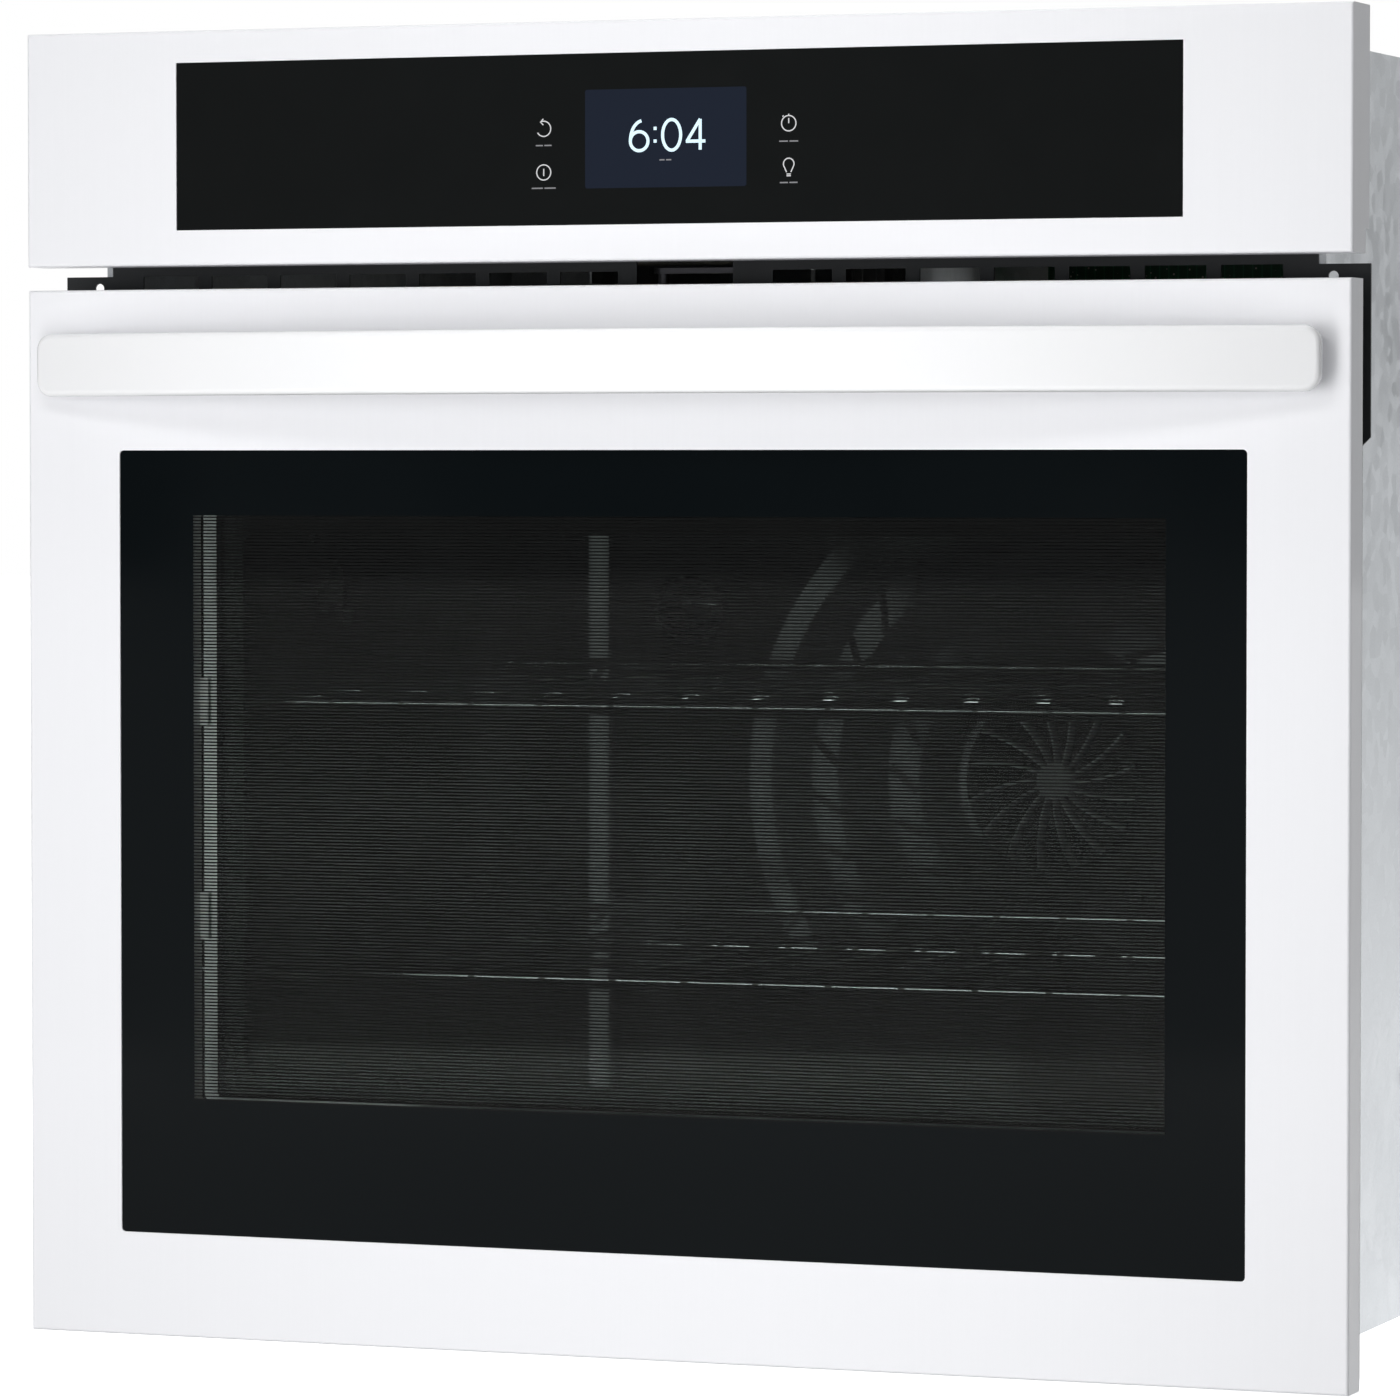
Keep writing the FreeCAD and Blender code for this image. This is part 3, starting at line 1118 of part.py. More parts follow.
def door_handle():
    """Strap handle, bowed away from the door in the middle, with rounded ends."""
    end_y = FRONT_Y - HANDLE_END_GAP
    mid_y = end_y - HANDLE_BOW
    z0 = HANDLE_Z - HANDLE_HEIGHT / 2
    thick = HANDLE_THICK
    back = Part.Arc(V(-HANDLE_HALF, end_y, z0), V(0, mid_y, z0), V(HANDLE_HALF, end_y, z0)).toShape()
    front = Part.Arc(V(HANDLE_HALF, end_y - thick, z0), V(0, mid_y - thick, z0),
                     V(-HANDLE_HALF, end_y - thick, z0)).toShape()
    right = Part.LineSegment(V(HANDLE_HALF, end_y, z0), V(HANDLE_HALF, end_y - thick, z0)).toShape()
    left = Part.LineSegment(V(-HANDLE_HALF, end_y - thick, z0), V(-HANDLE_HALF, end_y, z0)).toShape()
    strap = Part.Face(Part.Wire([back, right, front, left])).extrude(V(0, 0, HANDLE_HEIGHT))
    ellipse_x = 9.0
    ellipse_z = HANDLE_HEIGHT / 2 - 1.0
    end_mask = slab(HANDLE_HALF, mid_y - 40, end_y + 40, z0, z0 + HANDLE_HEIGHT, ellipse_x)
    strap = strap.common(end_mask)
    long_edges = [edge for edge in strap.Edges if edge.Length > HANDLE_HALF]
    return strap.makeFillet(ellipse_z / 5, long_edges)


def handle_mount():
    """Right-hand stand-off between the door and the handle's end."""
    half_x = 9.0
    z0 = HANDLE_Z - 12.0
    block = box(HANDLE_MOUNT_X - half_x, HANDLE_MOUNT_X + half_x, FRONT_Y - 16.0, FRONT_Y, z0, z0 + 24.0)
    return fillet_along(block, V(0, 1, 0), 4.0).cut(door_handle())


def door_screws():
    """Flat-head screws round the edge of the inner pan."""
    screws = []
    for side in (-1, 1):
        x = side * (LINER_HALF - 12.0)
        for z in (DOOR_Z + 90.0, DOOR_Z + 240.0, DOOR_Z + 390.0, DOOR_Z + 540.0):
            screws.append(bar_y(x, LINER_FACE, LINER_FACE + 1.8, z, 4.0))
        screws.append(bar_y(side * 180.0, LINER_FACE, LINER_FACE + 1.8, DOOR_Z + 36.0, 4.0))
    return Part.makeCompound(screws)


# ---------------------------------------------------------------- build
def main():
    """Write every node of the oven."""
    os.makedirs("parts", exist_ok=True)
    right_side = side_panel()
    right_wall = cavity_side()
    right_arm = hinge_arm()
    right_channel = hinge_channel()
    nodes = {
        "front_frame": front_frame(),
        "left_side_panel": mirrored(right_side),
        "right_side_panel": right_side,
        "top_cover": top_cover(),
        "base_pan": base_pan(),
        "rear_cover": rear_cover(),
        "insulation": insulation(),
        "cavity_left_wall": mirrored(right_wall),
        "cavity_right_wall": right_wall,
        "cavity_roof": cavity_deck(CAVITY_TOP),
        "cavity_floor": cavity_deck(CAVITY_BOTTOM - CAVITY_SHEET),
        "cavity_back": cavity_back(),
        "fan_cover": fan_cover(),
        "convection_fan": convection_fan(),
        "convection_motor": convection_motor(),
        "broil_element": heating_element(BROIL_Z),
        "bake_element": heating_element(BAKE_Z),
        "upper_rack": wire_rack(UPPER_LEVEL),
        "lower_rack": wire_rack(LOWER_LEVEL),
        "lamp_socket": lamp_socket(),
        "lamp_bulb": lamp_bulb(),
        "lamp_lens": lamp_lens(),
        "temperature_probe": temperature_probe(),
        "thermal_cutout": thermal_cutout(),
        "door_gasket": door_gasket(),
        "control_panel": control_panel(),
        "control_glass": control_glass(),
        "display_board": display_board(),
        "control_carrier": control_carrier(),
        "relay_board": relay_board(),
        "cooling_duct": cooling_duct(),
        "blower_housing": blower_housing(),
        "blower_motor": blower_motor(),
        "cooling_impeller": cooling_impeller(),
        "latch_bracket": latch_bracket(),
        "latch_motor": latch_motor(),
        "latch_hook": latch_hook(),
        "door_switch": door_switch(),
        "switch_plunger": switch_plunger(),
        "terminal_block": terminal_block(),
        "conduit_gland": conduit_gland(),
        "hinge_receivers": both_sides(hinge_receiver()),
        "body_screws": body_screws(),
        "door_skin": door_skin(),
        "door_outer_glass": pane(GLASS_OPEN_HALF + PANE_LAP, OUTER_PANE, GLASS_OPEN_BOTTOM - PANE_LAP,
                                 GLASS_OPEN_TOP + PANE_LAP, 6.0),
        "door_middle_glass": pane(WINDOW_HALF - 0.3, MIDDLE_PANE, WINDOW_BOTTOM + 0.3,
                                  WINDOW_TOP - 0.3, 3.0),
        "door_inner_glass": pane(WINDOW_HALF - 1.0, INNER_PANE, WINDOW_BOTTOM + 1.0, WINDOW_TOP - 1.0, 6.0),
        "glass_frame": glass_frame(),
        "door_liner": door_liner(),
        "door_insulation": door_insulation(),
        "hinge_arm_left": mirrored(right_arm),
        "hinge_arm_right": right_arm,
        "hinge_channel_left": mirrored(right_channel),
        "hinge_channel_right": right_channel,
        "hinge_pins": both_sides(hinge_pin()),
        "hinge_springs": both_sides(hinge_spring()),
        "spring_rods": both_sides(spring_rod()),
        "door_handle": door_handle(),
        "handle_mounts": both_sides(handle_mount()),
        "door_screws": door_screws(),
    }
    for name, shape in nodes.items():
        export(name, shape)


main()
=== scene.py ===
import json
import math

import bmesh
import bpy
from mathutils import Matrix, Vector


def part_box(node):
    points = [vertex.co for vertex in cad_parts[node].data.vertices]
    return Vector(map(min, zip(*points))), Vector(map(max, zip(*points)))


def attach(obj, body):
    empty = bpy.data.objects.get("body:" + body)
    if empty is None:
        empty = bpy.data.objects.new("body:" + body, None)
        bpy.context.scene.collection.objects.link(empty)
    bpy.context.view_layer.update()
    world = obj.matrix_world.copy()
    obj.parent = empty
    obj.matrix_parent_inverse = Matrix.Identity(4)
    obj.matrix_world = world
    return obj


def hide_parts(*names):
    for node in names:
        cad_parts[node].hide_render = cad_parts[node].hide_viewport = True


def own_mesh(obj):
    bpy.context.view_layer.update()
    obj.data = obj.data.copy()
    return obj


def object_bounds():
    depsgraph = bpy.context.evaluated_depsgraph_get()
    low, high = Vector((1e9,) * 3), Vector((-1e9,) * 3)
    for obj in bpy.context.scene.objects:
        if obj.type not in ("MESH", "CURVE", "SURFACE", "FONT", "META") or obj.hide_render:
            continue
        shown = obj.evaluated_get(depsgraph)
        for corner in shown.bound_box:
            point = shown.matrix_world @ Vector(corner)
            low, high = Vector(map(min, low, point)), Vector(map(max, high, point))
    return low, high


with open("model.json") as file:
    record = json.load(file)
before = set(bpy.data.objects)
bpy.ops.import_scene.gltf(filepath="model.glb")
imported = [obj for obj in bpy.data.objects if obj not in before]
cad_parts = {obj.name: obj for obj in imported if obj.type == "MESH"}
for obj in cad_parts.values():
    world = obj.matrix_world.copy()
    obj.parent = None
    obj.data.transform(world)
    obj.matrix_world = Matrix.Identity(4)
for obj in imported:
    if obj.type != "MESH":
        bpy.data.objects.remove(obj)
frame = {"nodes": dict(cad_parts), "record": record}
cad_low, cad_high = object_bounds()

MM = 0.001

# ---------------------------------------------------------------- camera and stage
CAMERA_PLACE = (1.3168, -3.7184, 0.4671)
CAMERA_DIP = 2.003
CAMERA_YAW = 21.005
CAMERA_LENS = 173.456
CAMERA_SENSOR = 36.0
FLOOR_DROP = 0.14
FLOOR_SIZE = 60.0
PLINTH_INSET = 0.09
WORLD_GLOW = 0.29
STAGE_GLOW = 0.93

# ---------------------------------------------------------------- front details
WINDOW_MARGIN = 1.4 * MM
LINE_PITCH = 1.8 * MM
INK_DEPTH = 0.05 * MM
DISPLAY_HALF_WIDTH = 46.4 * MM
DISPLAY_HALF_HEIGHT = 26.5 * MM
DIGIT_HEIGHT = 16.4 * MM
DIGIT_STROKE = 1.75 * MM
ICON_RADIUS = 4.1 * MM
ICON_STROKE = 0.62 * MM
BAR_STROKE = 0.7 * MM
ICON_X = 70.5 * MM

# ---------------------------------------------------------------- casing details
BEAD_WIDTH = 16.0 * MM
BEAD_RISE = 1.5 * MM
SIDE_BEAD_Y = 0.04
SIDE_BEAD_HEIGHTS = (0.13, 0.28, 0.43)
SIDE_BEAD_HALF = 0.18
TOP_BEAD_X = 0.245
TOP_BEAD_HALF = 0.21
TOP_CROSS_BEADS_Y = (-0.19, -0.08, 0.03)
TOP_CROSS_BEAD_HALF = 0.17
REAR_BEAD_X = 0.25
REAR_BEAD_Z = 0.29
REAR_BEAD_HALF = 0.21
COVER_PLATE_HALF_WIDTH = 0.105
COVER_PLATE_HALF_HEIGHT = 0.085
COVER_PLATE_RISE = 1.2 * MM
COVER_SCREW_INSET = 0.012

# ---------------------------------------------------------------- springs and seal
SPRING_WIRE = 1.1 * MM
SPRING_TURNS = 52
SEAL_CORNER = 26 * MM
SEAL_STEP = 0.9 * MM
SEAL_TWIST_PITCH = 22 * MM


# ---------------------------------------------------------------- shaders
class Shader:
    """One material. Its patterns are laid out in metres, in the object's own space."""

    def __init__(self, name, **constants):
        self.material = bpy.data.materials.new(name)
        self.material.use_nodes = True
        self.nodes = self.material.node_tree.nodes
        self.links = self.material.node_tree.links
        self.surface = self.nodes["Principled BSDF"]
        self.output = self.nodes["Material Output"]
        self.place = self.nodes.new("ShaderNodeTexCoord").outputs["Object"]
        for key, value in constants.items():
            self.surface.inputs[key.replace("_", " ")].default_value = value

    def node(self, kind, inputs, **settings):
        """A new node with its settings made and its inputs fed."""
        made = self.nodes.new("ShaderNode" + kind)
        for key, value in settings.items():
            setattr(made, key, value)
        for key, value in inputs.items():
            self.feed(made.inputs[key], value)
        return made

    def feed(self, socket, value):
        """Link a socket to another, or give it a fixed value."""
        if isinstance(value, bpy.types.NodeSocket):
            self.links.new(value, socket)
        else:
            socket.default_value = value

    def set(self, **inputs):
        """Feed the surface's own sockets."""
        for key, value in inputs.items():
            self.feed(self.surface.inputs[key.replace("_", " ")], value)

    def stretched(self, stretch):
        """The object's own space, scaled along each axis."""
        return self.node("Mapping", {"Vector": self.place, "Scale": stretch}).outputs["Vector"]

    def noise(self, size, detail=2.0, stretch=(1, 1, 1), rough=0.5):
        """Smooth noise whose features are about size metres wide."""
        made = self.node("TexNoise", {"Vector": self.stretched(stretch), "Scale": 1 / size,
                                      "Detail": detail, "Roughness": rough})
        return made.outputs["Fac"]

    def cells(self, size, output="Color"):
        """Random cells about size metres wide: each one's colour, or the distance to its middle."""
        made = self.node("TexVoronoi", {"Vector": self.stretched((1, 1, 1)), "Scale": 1 / size},
                         feature="F1")
        return made.outputs[output]

    def calc(self, operation, first, second=0.0):
        """Arithmetic on one or two numbers."""
        return self.node("Math", {0: first, 1: second}, operation=operation).outputs[0]

    def ranged(self, value, low, high, new_low, new_high):
        """Value carried from one range to another, held at the ends."""
        return self.node("MapRange", {"Value": value, "From Min": low, "From Max": high,
                                      "To Min": new_low, "To Max": new_high}).outputs["Result"]

    def mixed(self, share, first, second):
        """Colour between two others."""
        made = self.node("Mix", {0: share, 6: rgba(first), 7: rgba(second)}, data_type="RGBA")
        return made.outputs[2]

    def axes(self):
        """The place's X, Y and Z as three numbers."""
        return self.node("SeparateXYZ", {"Vector": self.place}).outputs

    def bump(self, height, depth, strength=1.0):
        """Feed the surface's normal from a height from 0 to 1 that stands for depth metres."""
        made = self.node("Bump", {"Height": height, "Distance": depth, "Strength": strength})
        self.set(Normal=made.outputs["Normal"])

    def inside(self, axis, low, high):
        """1 where a coordinate lies between two values, else 0."""
        above = self.calc("GREATER_THAN", axis, low)
        below = self.calc("LESS_THAN", axis, high)
        return self.calc("MULTIPLY", above, below)


def rgba(colour):
    """A colour as a node socket takes it."""
    if isinstance(colour, bpy.types.NodeSocket):
        return colour
    return (*colour, 1.0)


def shade(colour, factor):
    """A colour with each part scaled."""
    return tuple(part * factor for part in colour)


def paint(name, colour, roughness, peel, grain=0.0, gloss=0.0):
    """Baked paint: fine orange peel, faint drawn grain, smudges and a little dust under a gloss."""
    s = Shader(name, Coat_Weight=gloss, Coat_Roughness=0.06)
    cloud = s.noise(0.22, 3.0)
    streak = s.noise(1.6 * MM, 3.0, stretch=(1, 1, 0.012))
    dust = s.noise(0.6 * MM, 4.0, rough=0.7)
    tone = s.ranged(cloud, 0.3, 0.7, 0.0, 0.6)
    tone = s.calc("ADD", tone, s.ranged(streak, 0.25, 0.75, -grain, grain))
    s.set(Base_Color=s.mixed(tone, shade(colour, 0.985), colour))
    marks = s.ranged(cloud, 0.35, 0.75, roughness, roughness * 1.3)
    s.set(Roughness=s.calc("ADD", marks, s.ranged(dust, 0.45, 0.9, 0.0, 0.06)))
    s.bump(s.noise(peel, 2.0), 0.02 * MM, 0.35)
    return s.material


def metal(name, colour, roughness, grain_size, stretch, variation=0.06, depth=0.01):
    """Rolled or drawn metal: a grain along one direction, handling marks and slight tarnish."""
    s = Shader(name, Metallic=1.0)
    grain = s.noise(grain_size, 4.0, stretch=stretch, rough=0.65)
    cloud = s.noise(0.06, 3.0)
    tone = s.calc("MULTIPLY", s.ranged(grain, 0.3, 0.7, 0.0, 1.0),
                  s.ranged(cloud, 0.3, 0.75, 0.6, 1.0))
    s.set(Base_Color=s.mixed(tone, shade(colour, 1 - 4 * variation), colour))
    s.set(Roughness=s.calc("ADD", s.ranged(grain, 0.3, 0.7, roughness * 0.8, roughness * 1.2),
                          s.ranged(cloud, 0.5, 0.8, 0.0, 0.12)))
    s.bump(grain, depth * MM, 0.5)
    return s.material


def sooty_aluminium_with_painted_shade():
    """Fan wheel: bare aluminium at the blade fronts, darkened to a brownish black by painted shade
    deeper in towards the disc behind them, with random sooty stains.
    """
    s = Shader("fan_aluminium", Metallic=0.9)
    low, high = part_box("convection_fan")
    grain = s.noise(1.0 * MM, 4.0, stretch=(0.3, 1, 1))
    stain = s.noise(14 * MM, 3.0)
    # Painted shade: the colour darkens from the front of the wheel back towards the disc, where
    # shade falls between the blades; the stain noise adds random soot on top.
    depth = s.ranged(s.axes()["Y"], low.y + 1 * MM, high.y - 3 * MM, 1.0, 0.0)
    shade_and_soot = s.calc("MULTIPLY", depth, s.ranged(stain, 0.3, 0.7, 0.75, 1.0))
    s.set(Base_Color=s.mixed(shade_and_soot, (0.035, 0.032, 0.029), (0.72, 0.72, 0.71)))
    s.set(Roughness=s.ranged(grain, 0.3, 0.7, 0.32, 0.5))
    s.bump(grain, 0.01 * MM, 0.5)
    return s.material


def galvanised():
    """Zinc coated sheet: soft spangle crystals, dull patches and rolling marks."""
    s = Shader("galvanised", Metallic=1.0)
    crystal = s.cells(9 * MM)
    crystal = s.node("SeparateColor", {"Color": crystal}).outputs["Red"]
    small = s.noise(1.2 * MM, 4.0)
    cloud = s.noise(0.12, 3.0)
    tone = s.calc("ADD", s.ranged(crystal, 0, 1, 0.0, 0.55), s.ranged(small, 0.3, 0.7, 0.0, 0.25))
    tone = s.calc("ADD", tone, s.ranged(cloud, 0.3, 0.7, 0.0, 0.2))
    s.set(Base_Color=s.mixed(tone, (0.44, 0.46, 0.48), (0.66, 0.68, 0.70)))
    s.set(Roughness=s.calc("ADD", s.ranged(crystal, 0, 1, 0.32, 0.46),
                           s.ranged(cloud, 0.4, 0.8, 0.0, 0.1)))
    s.bump(s.calc("ADD", s.calc("MULTIPLY", crystal, 0.4), small), 0.02 * MM, 0.4)
    return s.material


def enamel():
    """Porcelain enamel of the cavity: dark, glossy, with pale specks and a slightly wavy melt."""
    s = Shader("cavity_enamel", Specular_IOR_Level=0.5)
    speck = s.cells(1.5 * MM, "Distance")
    where = s.noise(0.9 * MM, 2.0)
    dots = s.calc("MULTIPLY", s.ranged(speck, 0.16, 0.26, 1.0, 0.0),
                  s.ranged(where, 0.5, 0.56, 0.0, 1.0))
    cloud = s.noise(0.15, 3.0)
    ground = s.mixed(s.ranged(cloud, 0.3, 0.7, 0.0, 1.0),
                     (0.007, 0.008, 0.010), (0.012, 0.013, 0.016))
    s.set(Base_Color=s.mixed(dots, ground, (0.16, 0.17, 0.19)))
    s.set(Roughness=s.ranged(cloud, 0.3, 0.8, 0.16, 0.30))
    s.bump(s.noise(5 * MM, 2.0), 0.08 * MM, 0.3)
    return s.material


def moulded():
    """Black moulded plastic with a spark-eroded grain."""
    s = Shader("moulded_black")
    grain = s.noise(0.5 * MM, 3.0)
    cloud = s.noise(0.08, 2.0)
    s.set(Base_Color=s.mixed(cloud, (0.014, 0.014, 0.015), (0.026, 0.026, 0.028)))
    s.set(Roughness=s.ranged(grain, 0.3, 0.7, 0.42, 0.6))
    s.bump(grain, 0.05 * MM, 0.5)
    return s.material


def wool():
    """Glass wool: matted pale fibres with darker scorched patches."""
    s = Shader("glass_wool", Roughness=0.95, Specular_IOR_Level=0.2, Sheen_Weight=0.3)
    fibre = s.noise(0.7 * MM, 6.0, stretch=(1, 0.2, 0.35), rough=0.75)
    tuft = s.noise(18 * MM, 4.0)
    base = s.mixed(s.ranged(tuft, 0.3, 0.7, 0.0, 1.0), (0.52, 0.46, 0.30), (0.74, 0.70, 0.55))
    s.set(Base_Color=s.mixed(s.ranged(fibre, 0.4, 0.7, 0.0, 0.6), base, (0.86, 0.84, 0.74)))
    s.bump(s.calc("ADD", fibre, s.calc("MULTIPLY", tuft, 2.0)), 1.5 * MM, 0.7)
    return s.material


def braid():
    """Woven glass-fibre rope of the door seal: grey strands with pale broken filaments."""
    s = Shader("gasket_braid", Roughness=0.85, Specular_IOR_Level=0.3)
    strand = s.noise(0.35 * MM, 5.0, rough=0.7)
    tuft = s.noise(12 * MM, 2.0)
    base = s.mixed(s.ranged(tuft, 0.3, 0.7, 0.0, 1.0), (0.10, 0.10, 0.105), (0.17, 0.17, 0.17))
    s.set(Base_Color=s.mixed(s.ranged(strand, 0.5, 0.75, 0.0, 0.7), base, (0.36, 0.35, 0.33)))
    s.bump(strand, 0.25 * MM, 0.6)
    return s.material


def board():
    """Circuit board: green lacquer over copper tracks, with a woven core showing through."""
    s = Shader("circuit_board", Roughness=0.35)
    tracks = s.node("TexBrick", {"Vector": s.place, "Scale": 90.0, "Mortar Size": 0.03,
                                 "Color1": rgba((0, 0, 0)), "Color2": rgba((0, 0, 0)),
                                 "Mortar": rgba((1, 1, 1))}).outputs["Color"]
    pads = s.ranged(s.cells(4 * MM, "Distance"), 0.12, 0.16, 1.0, 0.0)
    lacquer = s.mixed(s.noise(0.02, 3.0), (0.010, 0.075, 0.030), (0.016, 0.11, 0.045))
    tracked = s.mixed(tracks, lacquer, (0.03, 0.19, 0.08))
    s.set(Base_Color=s.mixed(pads, tracked, (0.60, 0.58, 0.52)), Metallic=pads)
    s.bump(tracks, 0.05 * MM, 0.5)
    return s.material


def ceramic():
    """Unglazed steatite: off-white, matt, with kiln specks."""
    s = Shader("ceramic")
    speck = s.ranged(s.cells(2.5 * MM, "Distance"), 0.05, 0.10, 1.0, 0.0)
    cloud = s.noise(0.01, 3.0)
    base = s.mixed(cloud, (0.66, 0.63, 0.57), (0.80, 0.78, 0.73))
    s.set(Base_Color=s.mixed(speck, base, (0.42, 0.38, 0.32)),
          Roughness=s.ranged(cloud, 0.3, 0.7, 0.5, 0.7))
    s.bump(s.noise(0.4 * MM, 3.0), 0.04 * MM, 0.5)
    return s.material


def sheath():
    """Heater sheath: oxidised nickel alloy, brown to blue-grey by heat."""
    s = Shader("element_sheath", Metallic=0.85)
    band = s.noise(0.05, 4.0)
    scale = s.noise(0.8 * MM, 5.0, rough=0.7)
    tint = s.mixed(s.ranged(band, 0.35, 0.65, 0.0, 1.0), (0.085, 0.065, 0.055), (0.10, 0.11, 0.13))
    s.set(Base_Color=s.mixed(s.ranged(scale, 0.5, 0.8, 0.0, 0.5), tint, (0.22, 0.20, 0.18)))
    s.set(Roughness=s.ranged(scale, 0.3, 0.7, 0.42, 0.7))
    s.bump(scale, 0.06 * MM, 0.5)
    return s.material


def laminated():
    """Motor iron: edges of stacked laminations under a thin lacquer."""
    s = Shader("motor_iron", Metallic=0.7)
    y = s.axes()["Y"]
    z = s.axes()["Z"]
    stack = s.calc("FRACT", s.calc("MULTIPLY", s.calc("ADD", y, z), 1 / (0.65 * MM)))
    seam = s.ranged(stack, 0.0, 0.2, 1.0, 0.0)
    rust = s.noise(8 * MM, 4.0)
    base = s.mixed(s.ranged(rust, 0.5, 0.75, 0.0, 1.0), (0.10, 0.10, 0.11), (0.20, 0.13, 0.09))
    s.set(Base_Color=s.mixed(seam, base, (0.03, 0.03, 0.03)),
          Roughness=s.ranged(rust, 0.3, 0.7, 0.4, 0.6))
    s.bump(seam, 0.05 * MM, 0.6)
    return s.material


def see_through(s, tint, gloss):
    """Shader output of clear glass: what lies behind, tinted, under a reflection."""
    behind = s.node("BsdfTransparent", {"Color": rgba(tint)}).outputs[0]
    mirror = s.node("BsdfGlossy", {"Roughness": 0.03,
                                   "Color": rgba((gloss, gloss, gloss))}).outputs[0]
    edge = s.node("Fresnel", {"IOR": 1.42}).outputs[0]
    return s.node("MixShader", {0: edge, 1: behind, 2: mirror}).outputs[0]


def clear_glass():
    """Clear tempered pane with faint wiping smears."""
    s = Shader("clear_glass")
    smear = s.ranged(s.noise(0.05, 3.0, stretch=(1, 1, 0.3)), 0.55, 0.8, 0.0, 0.035)
    film = s.node("BsdfDiffuse", {"Color": rgba((0.5, 0.5, 0.5))}).outputs[0]
    glass = see_through(s, (0.90, 0.93, 0.92), 0.6)
    mixed = s.node("MixShader", {0: smear, 1: glass, 2: film}).outputs[0]
    s.links.new(mixed, s.output.inputs["Surface"])
    return s.material


def printed_glass(window_low, window_high, face_y):
    """Outer pane: black print on the front with a window of fine grey lines between clear gaps."""
    s = Shader("printed_glass", Specular_IOR_Level=0.06, Roughness=0.06)
    x, y, z = s.axes()
    smudge = s.noise(0.18, 3.0)
    speck = s.noise(0.5 * MM, 3.0)
    in_window = s.calc("MULTIPLY", s.inside(x, window_low.x, window_high.x),
                      s.inside(z, window_low.z, window_high.z))
    row = s.calc("FRACT", s.calc("MULTIPLY", z, 1 / LINE_PITCH))
    line = s.calc("LESS_THAN", s.calc("ADD", row, s.ranged(speck, 0.3, 0.7, -0.03, 0.03)), 0.46)
    on_face = s.calc("LESS_THAN", y, face_y + 0.5 * MM)
    gap = s.calc("MULTIPLY", in_window, s.calc("SUBTRACT", 1.0, line))
    printed = s.calc("MULTIPLY", on_face, s.calc("SUBTRACT", 1.0, gap))
    black = s.mixed(smudge, (0.0020, 0.0034, 0.0042), (0.0026, 0.0042, 0.0050))
    s.set(Base_Color=s.mixed(in_window, black, (0.0060, 0.0060, 0.0060)))
    s.set(Roughness=s.ranged(smudge, 0.35, 0.75, 0.05, 0.12))
    clear = see_through(s, (0.88, 0.90, 0.89), 0.15)
    both = s.node("MixShader", {0: printed, 1: clear, 2: s.surface.outputs[0]}).outputs[0]
    s.links.new(both, s.output.inputs["Surface"])
    return s.material


def touch_glass():
    """Gloss black control glass with faint fingerprints round the keys."""
    s = Shader("control_glass", Specular_IOR_Level=0.08)
    smudge = s.noise(0.03, 3.0)
    ridge = s.calc("FRACT", s.calc("MULTIPLY", s.noise(0.02, 1.0), 30.0))
    s.set(Base_Color=s.mixed(smudge, (0.0062, 0.0070, 0.0070), (0.0076, 0.0084, 0.0084)))
    prints = s.calc("MULTIPLY", s.ranged(smudge, 0.62, 0.75, 0.0, 0.12), ridge)
    s.set(Roughness=s.calc("ADD", prints, 0.06))
    return s.material


def lit(name, colour, glow, pitch):
    """Lit or printed marking with a fine dot screen."""
    s = Shader(name, Roughness=0.15, Specular_IOR_Level=0.08, Emission_Strength=glow)
    x, _, z = s.axes()
    across = s.calc("FRACT", s.calc("MULTIPLY", x, 1 / pitch))
    up = s.calc("FRACT", s.calc("MULTIPLY", z, 1 / pitch))
    screen = s.calc("MULTIPLY", s.ranged(across, 0.0, 0.2, 0.8, 1.0),
                    s.ranged(up, 0.0, 0.2, 0.8, 1.0))
    tone = s.mixed(screen, shade(colour, 0.75), colour)
    s.set(Base_Color=s.mixed(screen, shade(colour, 0.3), shade(colour, 0.4)),
          Emission_Color=tone)
    return s.material


def stage_paint(name, colour):
    """Matt pale studio surface with a glow of its own."""
    s = Shader(name, Roughness=0.9, Specular_IOR_Level=0.1)
    s.set(Base_Color=s.mixed(s.noise(1.5, 2.0), shade(colour, 0.99), colour))
    s.set(Emission_Color=rgba(colour), Emission_Strength=STAGE_GLOW)
    return s.material


def slot_materials():
    """One material for each slot of the record."""
    glass_low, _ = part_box("door_outer_glass")
    window_low, window_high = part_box("door_middle_glass")
    margin = Vector((WINDOW_MARGIN, 0, WINDOW_MARGIN))
    return {
        "white_paint": paint("white_paint", (0.86, 0.86, 0.885), 0.42, 1.1 * MM, 0.35, 0.3),
        "handle_white": paint("handle_white", (0.90, 0.90, 0.91), 0.38, 1.4 * MM, 0.1, 0.9),
        "black_paint": paint("black_paint", (0.0050, 0.0065, 0.0080), 0.42, 0.8 * MM, 0.2),
        "cavity_enamel": enamel(),
        "galvanised": galvanised(),
        "bright_steel": metal("bright_steel", (0.62, 0.61, 0.59), 0.28, 0.8 * MM, (1, 0.1, 1)),
        "chrome_wire": metal("chrome_wire", (0.70, 0.70, 0.71), 0.16, 0.4 * MM, (1, 0.1, 1)),
        "printed_glass": printed_glass(window_low + margin, window_high - margin, glass_low.y),
        "control_glass": touch_glass(),
        "clear_glass": clear_glass(),
        "hook_steel": metal("hook_steel", (0.10, 0.10, 0.11), 0.36, 0.6 * MM, (0.1, 1, 1)),
        "frame_steel": paint("frame_steel", (0.80, 0.81, 0.81), 0.3, 0.6 * MM, 0.5, 0.5),
        "glass_wool": wool(),
        "gasket_braid": braid(),
        "circuit_board": board(),
        "moulded_black": moulded(),
        "ceramic": ceramic(),
        "fan_aluminium": sooty_aluminium_with_painted_shade(),
        "element_sheath": sheath(),
        "motor_iron": laminated(),
    }


